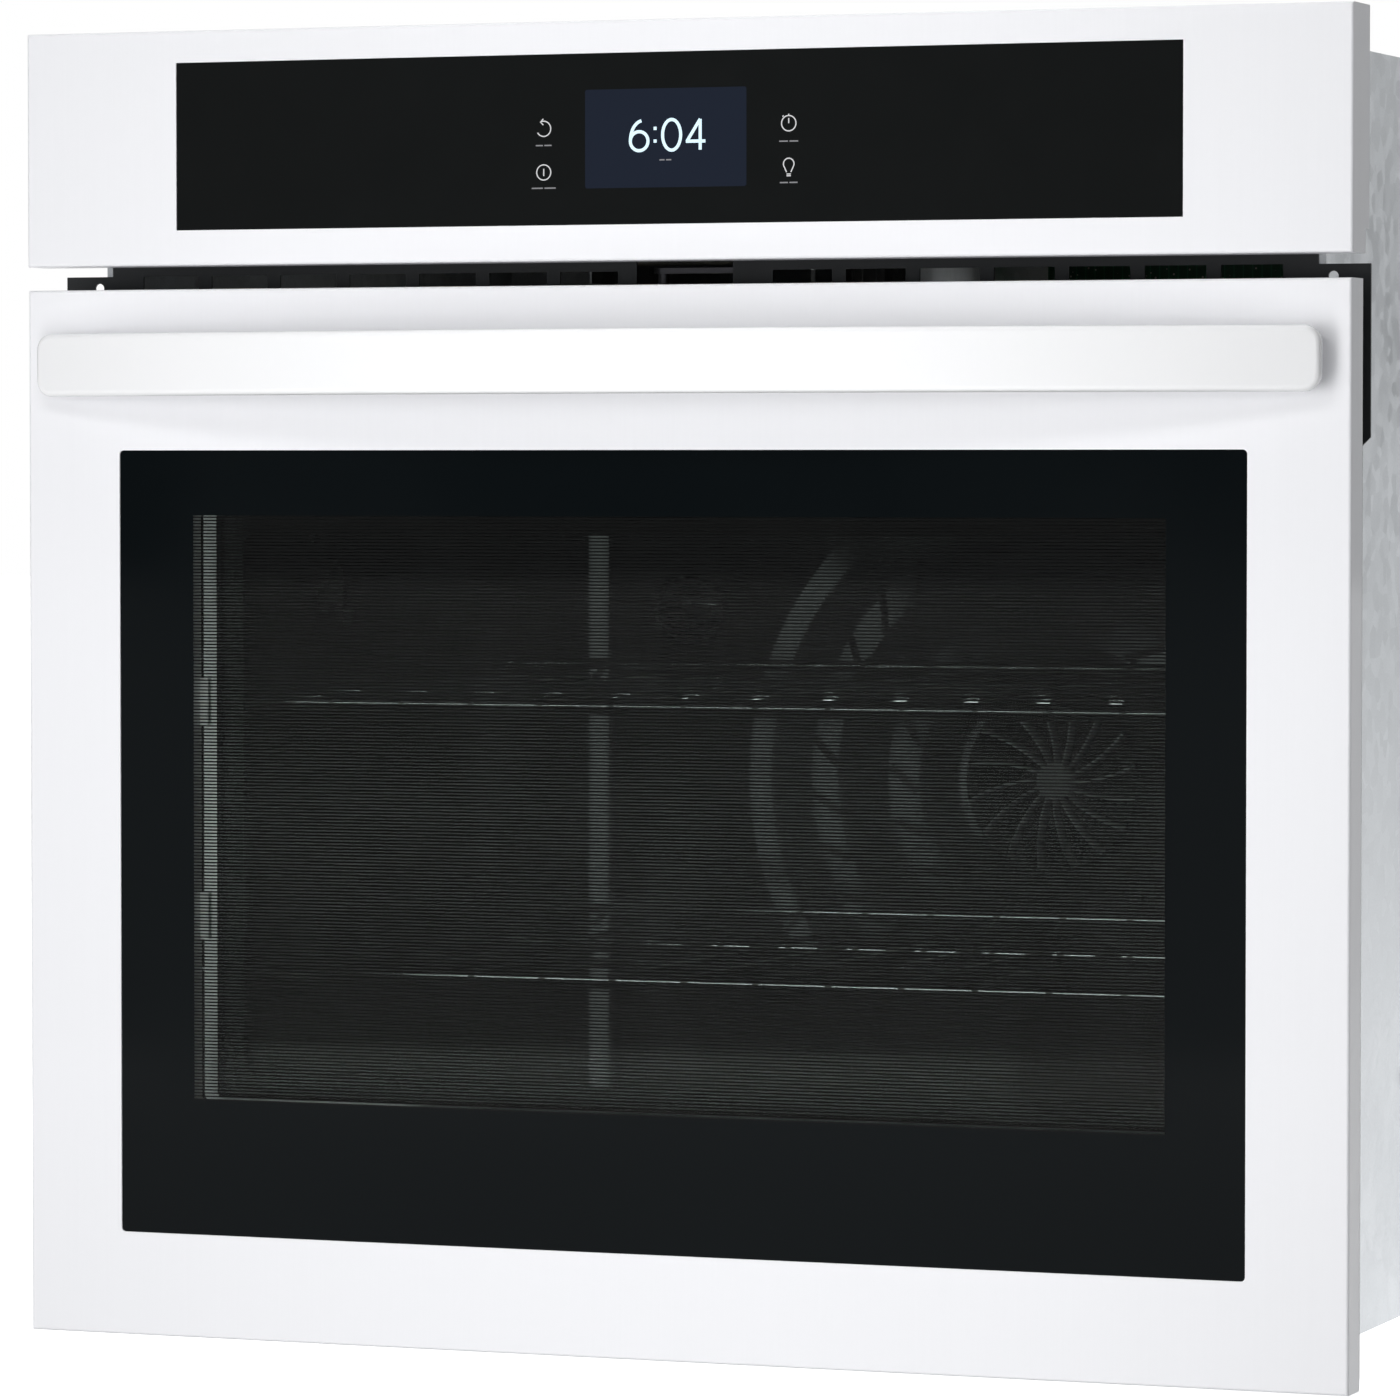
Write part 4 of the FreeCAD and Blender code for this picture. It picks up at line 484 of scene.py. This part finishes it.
def dress(materials):
    """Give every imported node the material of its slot, and two nodes a finish of their own."""
    for row in frame["record"]["subparts"]:
        mesh = frame["nodes"][row["node"]].data
        mesh.materials.clear()
        mesh.materials.append(materials[row["material_slot"]])
    for node, name in (("glass_frame", "frame_steel"), ("latch_hook", "hook_steel")):
        frame["nodes"][node].data.materials[0] = materials[name]


# ---------------------------------------------------------------- mesh helpers
def piece(name, mesh, body, material, smooth=30.0):
    """Finish a mesh as one named piece on a body."""
    data = bpy.data.meshes.new(name)
    bmesh.ops.recalc_face_normals(mesh, faces=mesh.faces)
    mesh.to_mesh(data)
    mesh.free()
    made = bpy.data.objects.new(name, data)
    bpy.context.scene.collection.objects.link(made)
    data.materials.append(material)
    if smooth:
        data.shade_smooth()
        data.set_sharp_from_angle(angle=math.radians(smooth))
    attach(made, body)
    return made


def arc(centre, radius, start, end, count=24, squash=1.0):
    """Points of an arc in the front plane, angles in degrees from +X towards +Z."""
    points = []
    for index in range(count + 1):
        angle = math.radians(start + (end - start) * index / count)
        points.append((centre[0] + radius * math.cos(angle),
                       centre[1] + radius * squash * math.sin(angle)))
    return points


def side_of(points, index, closed):
    """Unit direction across a polyline at one point."""
    count = len(points)
    before = points[(index - 1) % count] if closed or index > 0 else points[index]
    after = points[(index + 1) % count] if closed or index < count - 1 else points[index]
    run = Vector((after[0] - before[0], after[1] - before[1])).normalized()
    return Vector((-run.y, run.x))


def add_stroke(mesh, points, width, face_y, closed=False):
    """Raised ink line of one width along a polyline on the front plane."""
    rows = []
    for index, (x, z) in enumerate(points):
        side = side_of(points, index, closed) * (width / 2)
        corners = [(x + side.x, face_y, z + side.y), (x + side.x, face_y - INK_DEPTH, z + side.y),
                   (x - side.x, face_y - INK_DEPTH, z - side.y), (x - side.x, face_y, z - side.y)]
        rows.append([mesh.verts.new(corner) for corner in corners])
    pairs = list(zip(rows, rows[1:]))
    if closed:
        pairs.append((rows[-1], rows[0]))
    else:
        mesh.faces.new(rows[0])
        mesh.faces.new(rows[-1])
    for near, far in pairs:
        for index in range(4):
            after = (index + 1) % 4
            mesh.faces.new((near[index], near[after], far[after], far[index]))


def add_block(mesh, low, high):
    """Closed block between two corners."""
    made = bmesh.ops.create_cube(mesh, size=1.0)["verts"]
    for vert in made:
        vert.co = Vector([(a + b) / 2 + part * (b - a) for a, b, part in zip(low, high, vert.co)])


def add_rings(mesh, rings, close_start=True, close_end=True):
    """Skin over rings of points that all have one count."""
    rows = [[mesh.verts.new(point) for point in ring] for ring in rings]
    count = len(rows[0])
    for near, far in zip(rows, rows[1:]):
        for index in range(count):
            after = (index + 1) % count
            mesh.faces.new((near[index], near[after], far[after], far[index]))
    if close_start:
        mesh.faces.new(rows[0])
    if close_end:
        mesh.faces.new(rows[-1])
    return rows


# ---------------------------------------------------------------- control glass markings
def digits(centre_x, centre_z):
    """Polylines of the clock time, in thin round figures."""
    half = DIGIT_HEIGHT / 2
    bowl = 5.1 * MM
    six_x = centre_x - 15.1 * MM
    bowl_z = centre_z - half + bowl
    six_tail = arc((six_x + 2.2 * MM, bowl_z), bowl + 2.2 * MM, 180.0, 97.0, 12, 1.5)
    zero_x = centre_x + 3.6 * MM
    four_x = centre_x + 17.4 * MM
    stem = four_x + 2.6 * MM
    bar_z = centre_z - half + 4.6 * MM
    colon_x = centre_x - 5.9 * MM
    lines = [(arc((six_x, bowl_z), bowl, 0.0, 360.0, 36)[:-1], True),
             (six_tail, False),
             (arc((zero_x, centre_z), 5.2 * MM, 0.0, 360.0, 40, half / (5.2 * MM))[:-1], True),
             ([(stem, centre_z - half), (stem, centre_z + half)], False),
             ([(stem, centre_z + half), (four_x - 5.0 * MM, bar_z)], False),
             ([(four_x - 5.6 * MM, bar_z), (four_x + 5.6 * MM, bar_z)], False)]
    for lift in (-3.2 * MM, 3.6 * MM):
        dot_z = centre_z + lift
        lines.append(([(colon_x, dot_z - DIGIT_STROKE / 2),
                       (colon_x, dot_z + DIGIT_STROKE / 2)], False))
    return lines


def back_icon(x, z):
    """Open ring that ends in an arrow."""
    tip = arc((x, z), ICON_RADIUS, 118.0, 118.0, 1)[0]
    reach = 1.7 * MM
    return [(arc((x, z), ICON_RADIUS, 118.0, -150.0, 28), False),
            ([(tip[0] + reach, tip[1] + reach), tip,
              (tip[0] + reach, tip[1] - reach * 0.9)], False)]


def power_icon(x, z):
    """Ring with an upright bar."""
    half = ICON_RADIUS * 0.48
    return [(arc((x, z), ICON_RADIUS, 0, 360, 32)[:-1], True),
            ([(x, z - half), (x, z + half)], False)]


def timer_icon(x, z):
    """Stop watch: ring, hand, crown and side button."""
    crown = z + ICON_RADIUS
    button = arc((x, z), ICON_RADIUS + 0.9 * MM, 135.0, 125.0, 1)
    return [(arc((x, z), ICON_RADIUS, 0, 360, 32)[:-1], True),
            ([(x, z), (x, crown - 1.3 * MM)], False),
            ([(x, crown), (x, crown + 0.9 * MM)], False), (button, False)]


def lamp_icon(x, z):
    """Light bulb: pear outline and two base lines."""
    top = arc((x, z + 1.4 * MM), 3.0 * MM, 215.0, -35.0, 24)
    neck = 1.2 * MM
    base = z - 3.0 * MM
    lines = [([(x - neck, base), *top, (x + neck, base)], False)]
    for drop in (1.0 * MM, 1.9 * MM):
        lines.append(([(x - neck, base - drop), (x + neck, base - drop)], False))
    return lines


def caption_bar(x, z, half):
    """Short broken line under an icon."""
    gap = 0.45 * MM
    return [([(x - half, z), (x - gap, z)], False), ([(x + gap, z), (x + half, z)], False)]


def marking(name, strokes, width, face, material):
    """One piece of ink or light on the control glass, from its polylines."""
    mesh = bmesh.new()
    for points, closed in strokes:
        add_stroke(mesh, points, width, face, closed)
    piece(name, mesh, "oven_body", material, smooth=0)


def display_face(face, middle):
    """Lit screen with rounded corners, let into the glass and a hair proud of it."""
    screen = bmesh.new()
    add_block(screen, (-DISPLAY_HALF_WIDTH, face - INK_DEPTH / 2, middle - DISPLAY_HALF_HEIGHT),
              (DISPLAY_HALF_WIDTH, face + INK_DEPTH, middle + DISPLAY_HALF_HEIGHT))
    upright = [edge for edge in screen.edges
               if abs(edge.verts[0].co.y - edge.verts[1].co.y) > INK_DEPTH / 2]
    bmesh.ops.bevel(screen, geom=upright, offset=0.6 * MM, segments=3, affect="EDGES")
    piece("display_screen", screen, "oven_body",
          lit("display_lit", (0.011, 0.015, 0.026), 0.75, 0.35 * MM), smooth=0)


def control_markings():
    """Display face, clock figures, touch icons and their short bars."""
    low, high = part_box("control_glass")
    middle = (low.z + high.z) / 2
    face = low.y
    icon_ink = lit("icon_ink", (0.52, 0.52, 0.53), 0.9, 0.3 * MM)
    display_face(face, middle)
    marking("display_clock", digits(0.0, middle + 1.5 * MM), DIGIT_STROKE, face - INK_DEPTH / 2,
            lit("display_figures", (0.60, 0.77, 0.86), 1.0, 0.35 * MM))
    for icon, name, x, lift in ((back_icon, "icon_back", -ICON_X, 6.0 * MM),
                                (power_icon, "icon_power", -ICON_X, -17.5 * MM),
                                (timer_icon, "icon_timer", ICON_X, 6.5 * MM),
                                (lamp_icon, "icon_lamp", ICON_X, -16.5 * MM)):
        marking(name, icon(x, middle + lift), ICON_STROKE, face, icon_ink)
    bars = []
    for x, lift, half in ((-ICON_X, -3.0 * MM, 4.6 * MM), (-ICON_X, -26.0 * MM, 7.0 * MM),
                          (ICON_X, -3.0 * MM, 5.4 * MM), (ICON_X, -25.0 * MM, 5.0 * MM),
                          (0.0, -11.8 * MM, 3.4 * MM)):
        bars += caption_bar(x, middle + lift, half)
    marking("caption_bars", bars, BAR_STROKE, face - INK_DEPTH,
            lit("caption_ink", (0.20, 0.20, 0.21), 0.9, 0.3 * MM))


# ---------------------------------------------------------------- fasteners
def hex_radius(angle, across):
    """Distance from a hexagon's middle to its edge at one angle."""
    sector = math.pi / 3
    return across / 2 / math.cos((angle % sector) - sector / 2)


def head_rings(kind, washer_r, head_r, height):
    """Profile of a screw head as (radius, height, shape) from its seat to its recess."""
    if kind == "hex":
        return [(washer_r, 0.0, "round"), (washer_r, 0.2 * height, "round"),
                (washer_r * 0.86, 0.3 * height, "round"), (head_r, 0.32 * height, "hex"),
                (head_r, 0.9 * height, "hex"), (head_r * 0.86, height, "hex"),
                (head_r * 0.62, height, "round"), (head_r * 0.5, 0.8 * height, "round")]
    return [(washer_r, 0.0, "round"), (washer_r, 0.25 * height, "round"),
            (washer_r * 0.9, 0.6 * height, "round"), (washer_r * 0.7, 0.9 * height, "round"),
            (washer_r * 0.5, height, "cross"), (washer_r * 0.42, 0.35 * height, "cross")]


def ring_point(radius, angle, shape):
    """Point of a round, hexagonal or cross-shaped ring at one angle."""
    if shape == "hex":
        radius = hex_radius(angle, 2 * radius * math.cos(math.pi / 6))
    if shape == "cross":
        spread = abs(math.cos(2 * angle))
        radius = radius * (0.34 + 0.66 * spread ** 3)
    return radius * math.cos(angle), radius * math.sin(angle)


def add_head(mesh, seat, axis, kind, washer_r, head_r, height, turn):
    """One screw head that stands on a seat along an axis."""
    count = 32
    place = Matrix.Translation(seat) @ Vector(axis).to_track_quat("Z", "Y").to_matrix().to_4x4()
    rings = []
    for radius, lift, shape in head_rings(kind, washer_r, head_r, height):
        ring = []
        for index in range(count):
            angle = 2 * math.pi * index / count
            x, y = ring_point(radius, angle, shape)
            flat = Matrix.Rotation(turn, 2) @ Vector((x, y))
            ring.append(place @ Vector((flat.x, flat.y, lift)))
        rings.append(ring)
    add_rings(mesh, rings)


def loose_parts(node, spread):
    """Points of each loose part of a node, once points closer than spread are merged."""
    source = bmesh.new()
    source.from_mesh(frame["nodes"][node].data)
    bmesh.ops.remove_doubles(source, verts=source.verts, dist=spread)
    left = set(source.verts)
    parts = []
    while left:
        found = [left.pop()]
        for vert in found:
            for edge in vert.link_edges:
                other = edge.other_vert(vert)
                if other in left:
                    left.remove(other)
                    found.append(other)
        parts.append([vert.co.copy() for vert in found])
    source.free()
    return parts


def points_box(points):
    """Low and high corner of the box round some points."""
    low = Vector([min(point[axis] for point in points) for axis in range(3)])
    high = Vector([max(point[axis] for point in points) for axis in range(3)])
    return low, high


def screws(name, node, body, kind, outward):
    """Detailed heads in the places of a node's plain ones, which are thin along their axis."""
    mesh = bmesh.new()
    boxes = [points_box(points) for points in loose_parts(node, 0.02 * MM)]
    for index, (low, high) in enumerate(sorted(boxes, key=lambda box: tuple(box[0]))):
        size = high - low
        thin = min(range(3), key=lambda axis: size[axis])
        axis = Vector((0, 0, 0))
        axis[thin] = outward(thin, (low + high) / 2)
        seat = (low + high) / 2
        seat[thin] = low[thin] if axis[thin] > 0 else high[thin]
        washer_r = max(size) / 2
        add_head(mesh, seat, axis, kind, washer_r, washer_r * 0.72, size[thin], 0.7 * index)
    made = piece(name, mesh, body, materials["bright_steel"])
    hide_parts(node)


# ---------------------------------------------------------------- casing pressings
def rounded_outline(half_u, half_v, corner):
    """Points round a rectangle with rounded corners, centred on the origin."""
    points = []
    for u, v, start in ((1, -1, -90), (1, 1, 0), (-1, 1, 90), (-1, -1, 180)):
        points += arc((u * (half_u - corner), v * (half_v - corner)), corner, start, start + 90, 8)
    return points


def add_raised(mesh, place, half_u, half_v, corner, height):
    """Raised pad with soft sloping edges."""
    rings = []
    for inset, lift in ((0.0, 0.0), (0.9, 0.55), (1.6, 0.9), (2.4, 1.0)):
        shrink = inset * height
        points = rounded_outline(half_u - shrink, half_v - shrink, corner - shrink)
        rings.append([place @ Vector((u, v, lift * height)) for u, v in points])
    add_rings(mesh, rings)


def sheet_place(origin, across, normal):
    """Frame on a sheet: its first axis runs across, its third stands off the sheet."""
    across, normal = Vector(across), Vector(normal)
    turn = Matrix((across, normal.cross(across), normal)).transposed().to_4x4()
    return Matrix.Translation(origin) @ turn


def add_bead(mesh, origin, along, normal, half_length):
    """One stiffening bead on a sheet."""
    half_width = BEAD_WIDTH / 2
    add_raised(mesh, sheet_place(origin, along, normal), half_length, half_width,
               half_width - 0.1 * MM, BEAD_RISE)


def casing_beads():
    """Stiffening beads pressed in the sides, top and rear of the casing."""
    side_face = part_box("right_side_panel")[1].x
    top_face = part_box("top_cover")[1].z
    rear_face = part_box("rear_cover")[1].y
    sides, top, rear = bmesh.new(), bmesh.new(), bmesh.new()
    for side in (-1, 1):
        for z in SIDE_BEAD_HEIGHTS:
            add_bead(sides, (side * side_face, SIDE_BEAD_Y, z), (0, 1, 0), (side, 0, 0),
                     SIDE_BEAD_HALF)
    for x in (-TOP_BEAD_X, TOP_BEAD_X):
        add_bead(top, (x, 0.0, top_face), (0, 1, 0), (0, 0, 1), TOP_BEAD_HALF)
    for y in TOP_CROSS_BEADS_Y:
        add_bead(top, (0.0, y, top_face), (1, 0, 0), (0, 0, 1), TOP_CROSS_BEAD_HALF)
    for x in (-REAR_BEAD_X, REAR_BEAD_X):
        add_bead(rear, (x, rear_face, REAR_BEAD_Z), (0, 0, 1), (0, 1, 0), REAR_BEAD_HALF)
    for name, mesh in (("side_beads", sides), ("top_beads", top), ("rear_beads", rear)):
        piece(name, mesh, "oven_body", materials["galvanised"], smooth=25.0)


def motor_cover_plate():
    """Plate on the rear behind the convection motor, held by four cross-head screws."""
    rear_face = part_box("rear_cover")[1].y
    motor_low, motor_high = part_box("convection_motor")
    centre = (motor_low + motor_high) / 2
    cover, heads = bmesh.new(), bmesh.new()
    add_raised(cover, sheet_place((centre.x, rear_face, centre.z), (1, 0, 0), (0, 1, 0)),
               COVER_PLATE_HALF_WIDTH, COVER_PLATE_HALF_HEIGHT, 8 * MM, COVER_PLATE_RISE)
    for u in (-1, 1):
        for v in (-1, 1):
            seat = Vector((centre.x + u * (COVER_PLATE_HALF_WIDTH - COVER_SCREW_INSET),
                           rear_face + COVER_PLATE_RISE,
                           centre.z + v * (COVER_PLATE_HALF_HEIGHT - COVER_SCREW_INSET)))
            add_head(heads, seat, (0, 1, 0), "cross", 4.2 * MM, 3.0 * MM, 2.2 * MM, u + 0.4 * v)
    piece("motor_cover_plate", cover, "oven_body", materials["galvanised"],
          smooth=25.0)
    piece("cover_plate_screws", heads, "oven_body", materials["bright_steel"])


# ---------------------------------------------------------------- springs and seal
def spring_coils():
    """Wound springs in the door's hinge channels, in place of the plain spring node."""
    low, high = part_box("hinge_springs")
    wire = SPRING_WIRE
    radius = (high.y - low.y) / 2 - wire
    steps, section = 20, 8
    for name, side in (("hinge_spring_left", -1), ("hinge_spring_right", 1)):
        centre = Vector((side * (high.x - radius - wire), (low.y + high.y) / 2, low.z))
        height = high.z - low.z - 2 * wire
        rings = []
        for index in range(SPRING_TURNS * steps + 1):
            angle = 2 * math.pi * index / steps
            lift = wire + height * index / (SPRING_TURNS * steps)
            outward = Vector((math.cos(angle), math.sin(angle), 0))
            middle = centre + outward * radius + Vector((0, 0, lift))
            ring = []
            for corner in range(section):
                part = 2 * math.pi * corner / section
                ring.append(middle + (outward * math.cos(part)
                                      + Vector((0, 0, 1)) * math.sin(part)) * wire)
            rings.append(ring)
        mesh = bmesh.new()
        add_rings(mesh, rings)
        made = piece(name, mesh, "door", materials["bright_steel"], smooth=60.0)
        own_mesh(made)
        if side > 0:
            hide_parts("hinge_springs")


def rounded_loop(half, z0, z1, corner, step):
    """Evenly spaced (x, z) points round a rectangle with rounded corners."""
    centres = [(half - corner, z0 + corner, -90), (half - corner, z1 - corner, 0),
               (-half + corner, z1 - corner, 90), (-half + corner, z0 + corner, 180)]
    corners = []
    for x, z, start in centres:
        corners += arc((x, z), corner, start, start + 90, 24)
    corners.append(corners[0])
    points = []
    carried = 0.0
    for near, far in zip(corners, corners[1:]):
        run = math.dist(near, far)
        while carried < run:
            share = carried / run
            points.append((near[0] + (far[0] - near[0]) * share,
                           near[1] + (far[1] - near[1]) * share))
            carried += step
        carried -= run
    return points


def door_seal():
    """Braided rope seal: strands cross over each other all round the rope."""
    low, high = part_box("door_gasket")
    radius = (high.y - low.y) / 2
    points = rounded_loop(high.x - radius, low.z + radius, high.z - radius,
                          SEAL_CORNER, SEAL_STEP)
    count = len(points)
    section, strands = 24, 8
    twist = round(count * SEAL_STEP / SEAL_TWIST_PITCH)
    rows = []
    for index, (x, z) in enumerate(points):
        side = side_of(points, index, True)
        along = 2 * math.pi * twist * index / count
        row = []
        for corner in range(section):
            angle = 2 * math.pi * corner / section
            weave = math.sin(strands / 2 * angle + along * strands / 2) * math.sin(
                strands / 2 * angle - along * strands / 2)
            reach = radius * (0.93 + 0.07 * weave)
            across = reach * math.cos(angle)
            row.append(Vector((x + side.x * across, (low.y + high.y) / 2 + reach * math.sin(angle),
                               z + side.y * across)))
        rows.append(row)
    mesh = bmesh.new()
    skinned = add_rings(mesh, rows, close_start=False, close_end=False)
    for index in range(section):
        after = (index + 1) % section
        mesh.faces.new((skinned[-1][index], skinned[-1][after],
                        skinned[0][after], skinned[0][index]))
    made = piece("door_seal_braid", mesh, "oven_body",
                 materials["gasket_braid"], smooth=80.0)
    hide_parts("door_gasket")


# ---------------------------------------------------------------- stage, light and camera
def build_stage():
    """Pale floor with a low plinth under the base. Their glow gives no light to matt surfaces."""
    floor = bmesh.new()
    floor_z = cad_low.z - FLOOR_DROP
    half = FLOOR_SIZE / 2
    floor.faces.new([floor.verts.new((x, y, floor_z)) for x, y in
                     ((-half, -half), (half, -half), (half, half), (-half, half))])
    plinth = bmesh.new()
    base_low, base_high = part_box("base_pan")
    add_block(plinth, (base_low.x + PLINTH_INSET, base_low.y + PLINTH_INSET, floor_z),
              (base_high.x - PLINTH_INSET, base_high.y - PLINTH_INSET, base_low.z - 0.5 * MM))
    for name, mesh in (("studio_floor", floor), ("studio_plinth", plinth)):
        data = bpy.data.meshes.new(name)
        mesh.to_mesh(data)
        mesh.free()
        made = bpy.data.objects.new(name, data)
        data.materials.append(stage_paint(name, (0.93, 0.93, 0.93)))
        bpy.context.scene.collection.objects.link(made)
        made.visible_diffuse = False


def soft_box(name, place, target, size, power, reflects=True, spreads=True, only=()):
    """Soft lamp aimed at a point; it may skip gloss, skip matt light, or light named nodes only."""
    data = bpy.data.lights.new(name, "AREA")
    data.shape = "RECTANGLE"
    data.size, data.size_y = size
    data.energy = power
    lamp = bpy.data.objects.new(name, data)
    lamp.location = place
    lamp.rotation_euler = (Vector(target) - Vector(place)).to_track_quat("-Z", "Y").to_euler()
    lamp.visible_camera = False
    lamp.visible_glossy = reflects
    lamp.visible_diffuse = spreads
    bpy.context.scene.collection.objects.link(lamp)
    if only:
        lit_nodes = bpy.data.collections.new(name + "_nodes")
        for node in only:
            lit_nodes.objects.link(frame["nodes"][node])
        lamp.light_linking.receiver_collection = lit_nodes


def build_world():
    """Surroundings: paper white where the camera sees them, a dim cool sky as light."""
    world = bpy.data.worlds.new("studio")
    bpy.context.scene.world = world
    world.use_nodes = True
    nodes, links = world.node_tree.nodes, world.node_tree.links
    seen = nodes.new("ShaderNodeBackground")
    seen.inputs["Strength"].default_value = 1.0
    seen.inputs["Color"].default_value = (1, 1, 1, 1)
    lighting = nodes["Background"]
    lighting.inputs["Color"].default_value = (0.97, 0.985, 1.0, 1)
    lighting.inputs["Strength"].default_value = WORLD_GLOW
    ray = nodes.new("ShaderNodeLightPath")
    mix = nodes.new("ShaderNodeMixShader")
    links.new(ray.outputs["Is Camera Ray"], mix.inputs[0])
    links.new(lighting.outputs[0], mix.inputs[1])
    links.new(seen.outputs[0], mix.inputs[2])
    links.new(mix.outputs[0], nodes["World Output"].inputs["Surface"])


def studio_lamps():
    """Broad lamps round the object. Those in front show no reflection, save the narrow sheen."""
    middle = (cad_low + cad_high) / 2
    door_middle, panel_middle = (0.0, -0.34, 0.20), (0.0, -0.34, 0.50)
    soft_box("front_box", (-0.8, -3.7, 0.20), middle, (3.4, 2.0), 54.0, reflects=False)
    soft_box("front_mid", (0.0, -1.25, 0.20), door_middle, (0.25, 0.8), 3.8, reflects=False)
    soft_box("brow_box", (0.0, -1.25, 0.98), panel_middle, (0.5, 0.16), 2.0, reflects=False)
    soft_box("sheen_box", (-0.77, -2.34, 0.45), (-0.77, 0, 0.45), (0.86, 1.8), 1.3,
             only=("door_skin", "control_panel", "door_handle"))
    soft_box("top_box", (0.0, 0.2, 3.2), middle, (3.0, 3.0), 45.0)
    soft_box("rear_box", (-0.2, 3.6, 1.8), middle, (2.6, 2.2), 40.0)


def inside_lamps():
    """Small lamps that light single nodes seen through the window. They stand still at each pose."""
    racks = ("upper_rack", "lower_rack")
    soft_box("cavity_glow", (0.0, -0.235, 0.50), (0.0, 0.1, 0.25), (0.58, 0.04), 0.35,
             only=(*racks, "cavity_back", "fan_cover", "convection_fan", "lamp_lens"))
    soft_box("rail_glow", (0.0, -0.285, 0.42), (0.0, -0.25, 0.26), (0.6, 0.012), 0.10, only=racks)
    soft_box("slope_glow", (-0.264, 0.1973, 0.29), (0.0, 0.1973, 0.29), (0.0125, 0.44), 0.028,
             spreads=False, only=("cavity_back",))
    soft_box("step_glow", (-0.306, 0.03, 0.29), (0.0, 0.03, 0.29), (0.32, 0.44), 0.66,
             spreads=False, only=("fan_cover",))
    soft_box("door_glow", (-0.15, -0.3155, 0.277), (-0.28, -0.3155, 0.277), (0.01, 0.26), 0.12,
             only=("glass_frame",))


def build_camera():
    """Camera at the photograph's angle."""
    data = bpy.data.cameras.new("camera")
    data.lens = CAMERA_LENS
    data.sensor_width = CAMERA_SENSOR
    camera = bpy.data.objects.new("camera", data)
    camera.location = CAMERA_PLACE
    camera.rotation_euler = (math.radians(90 - CAMERA_DIP), 0, math.radians(CAMERA_YAW))
    bpy.context.scene.collection.objects.link(camera)
    bpy.context.scene.camera = camera


# ---------------------------------------------------------------- build
materials = slot_materials()
dress(materials)
control_markings()
screws("casing_screws", "body_screws", "oven_body", "hex",
       lambda axis, middle: 1 if axis == 2 or middle[axis] > 0 else -1)
screws("door_pan_screws", "door_screws", "door", "cross", lambda axis, middle: 1)
casing_beads()
motor_cover_plate()
spring_coils()
door_seal()
build_stage()
build_world()
studio_lamps()
inside_lamps()
build_camera()
bpy.context.scene.view_settings.view_transform = "Standard"
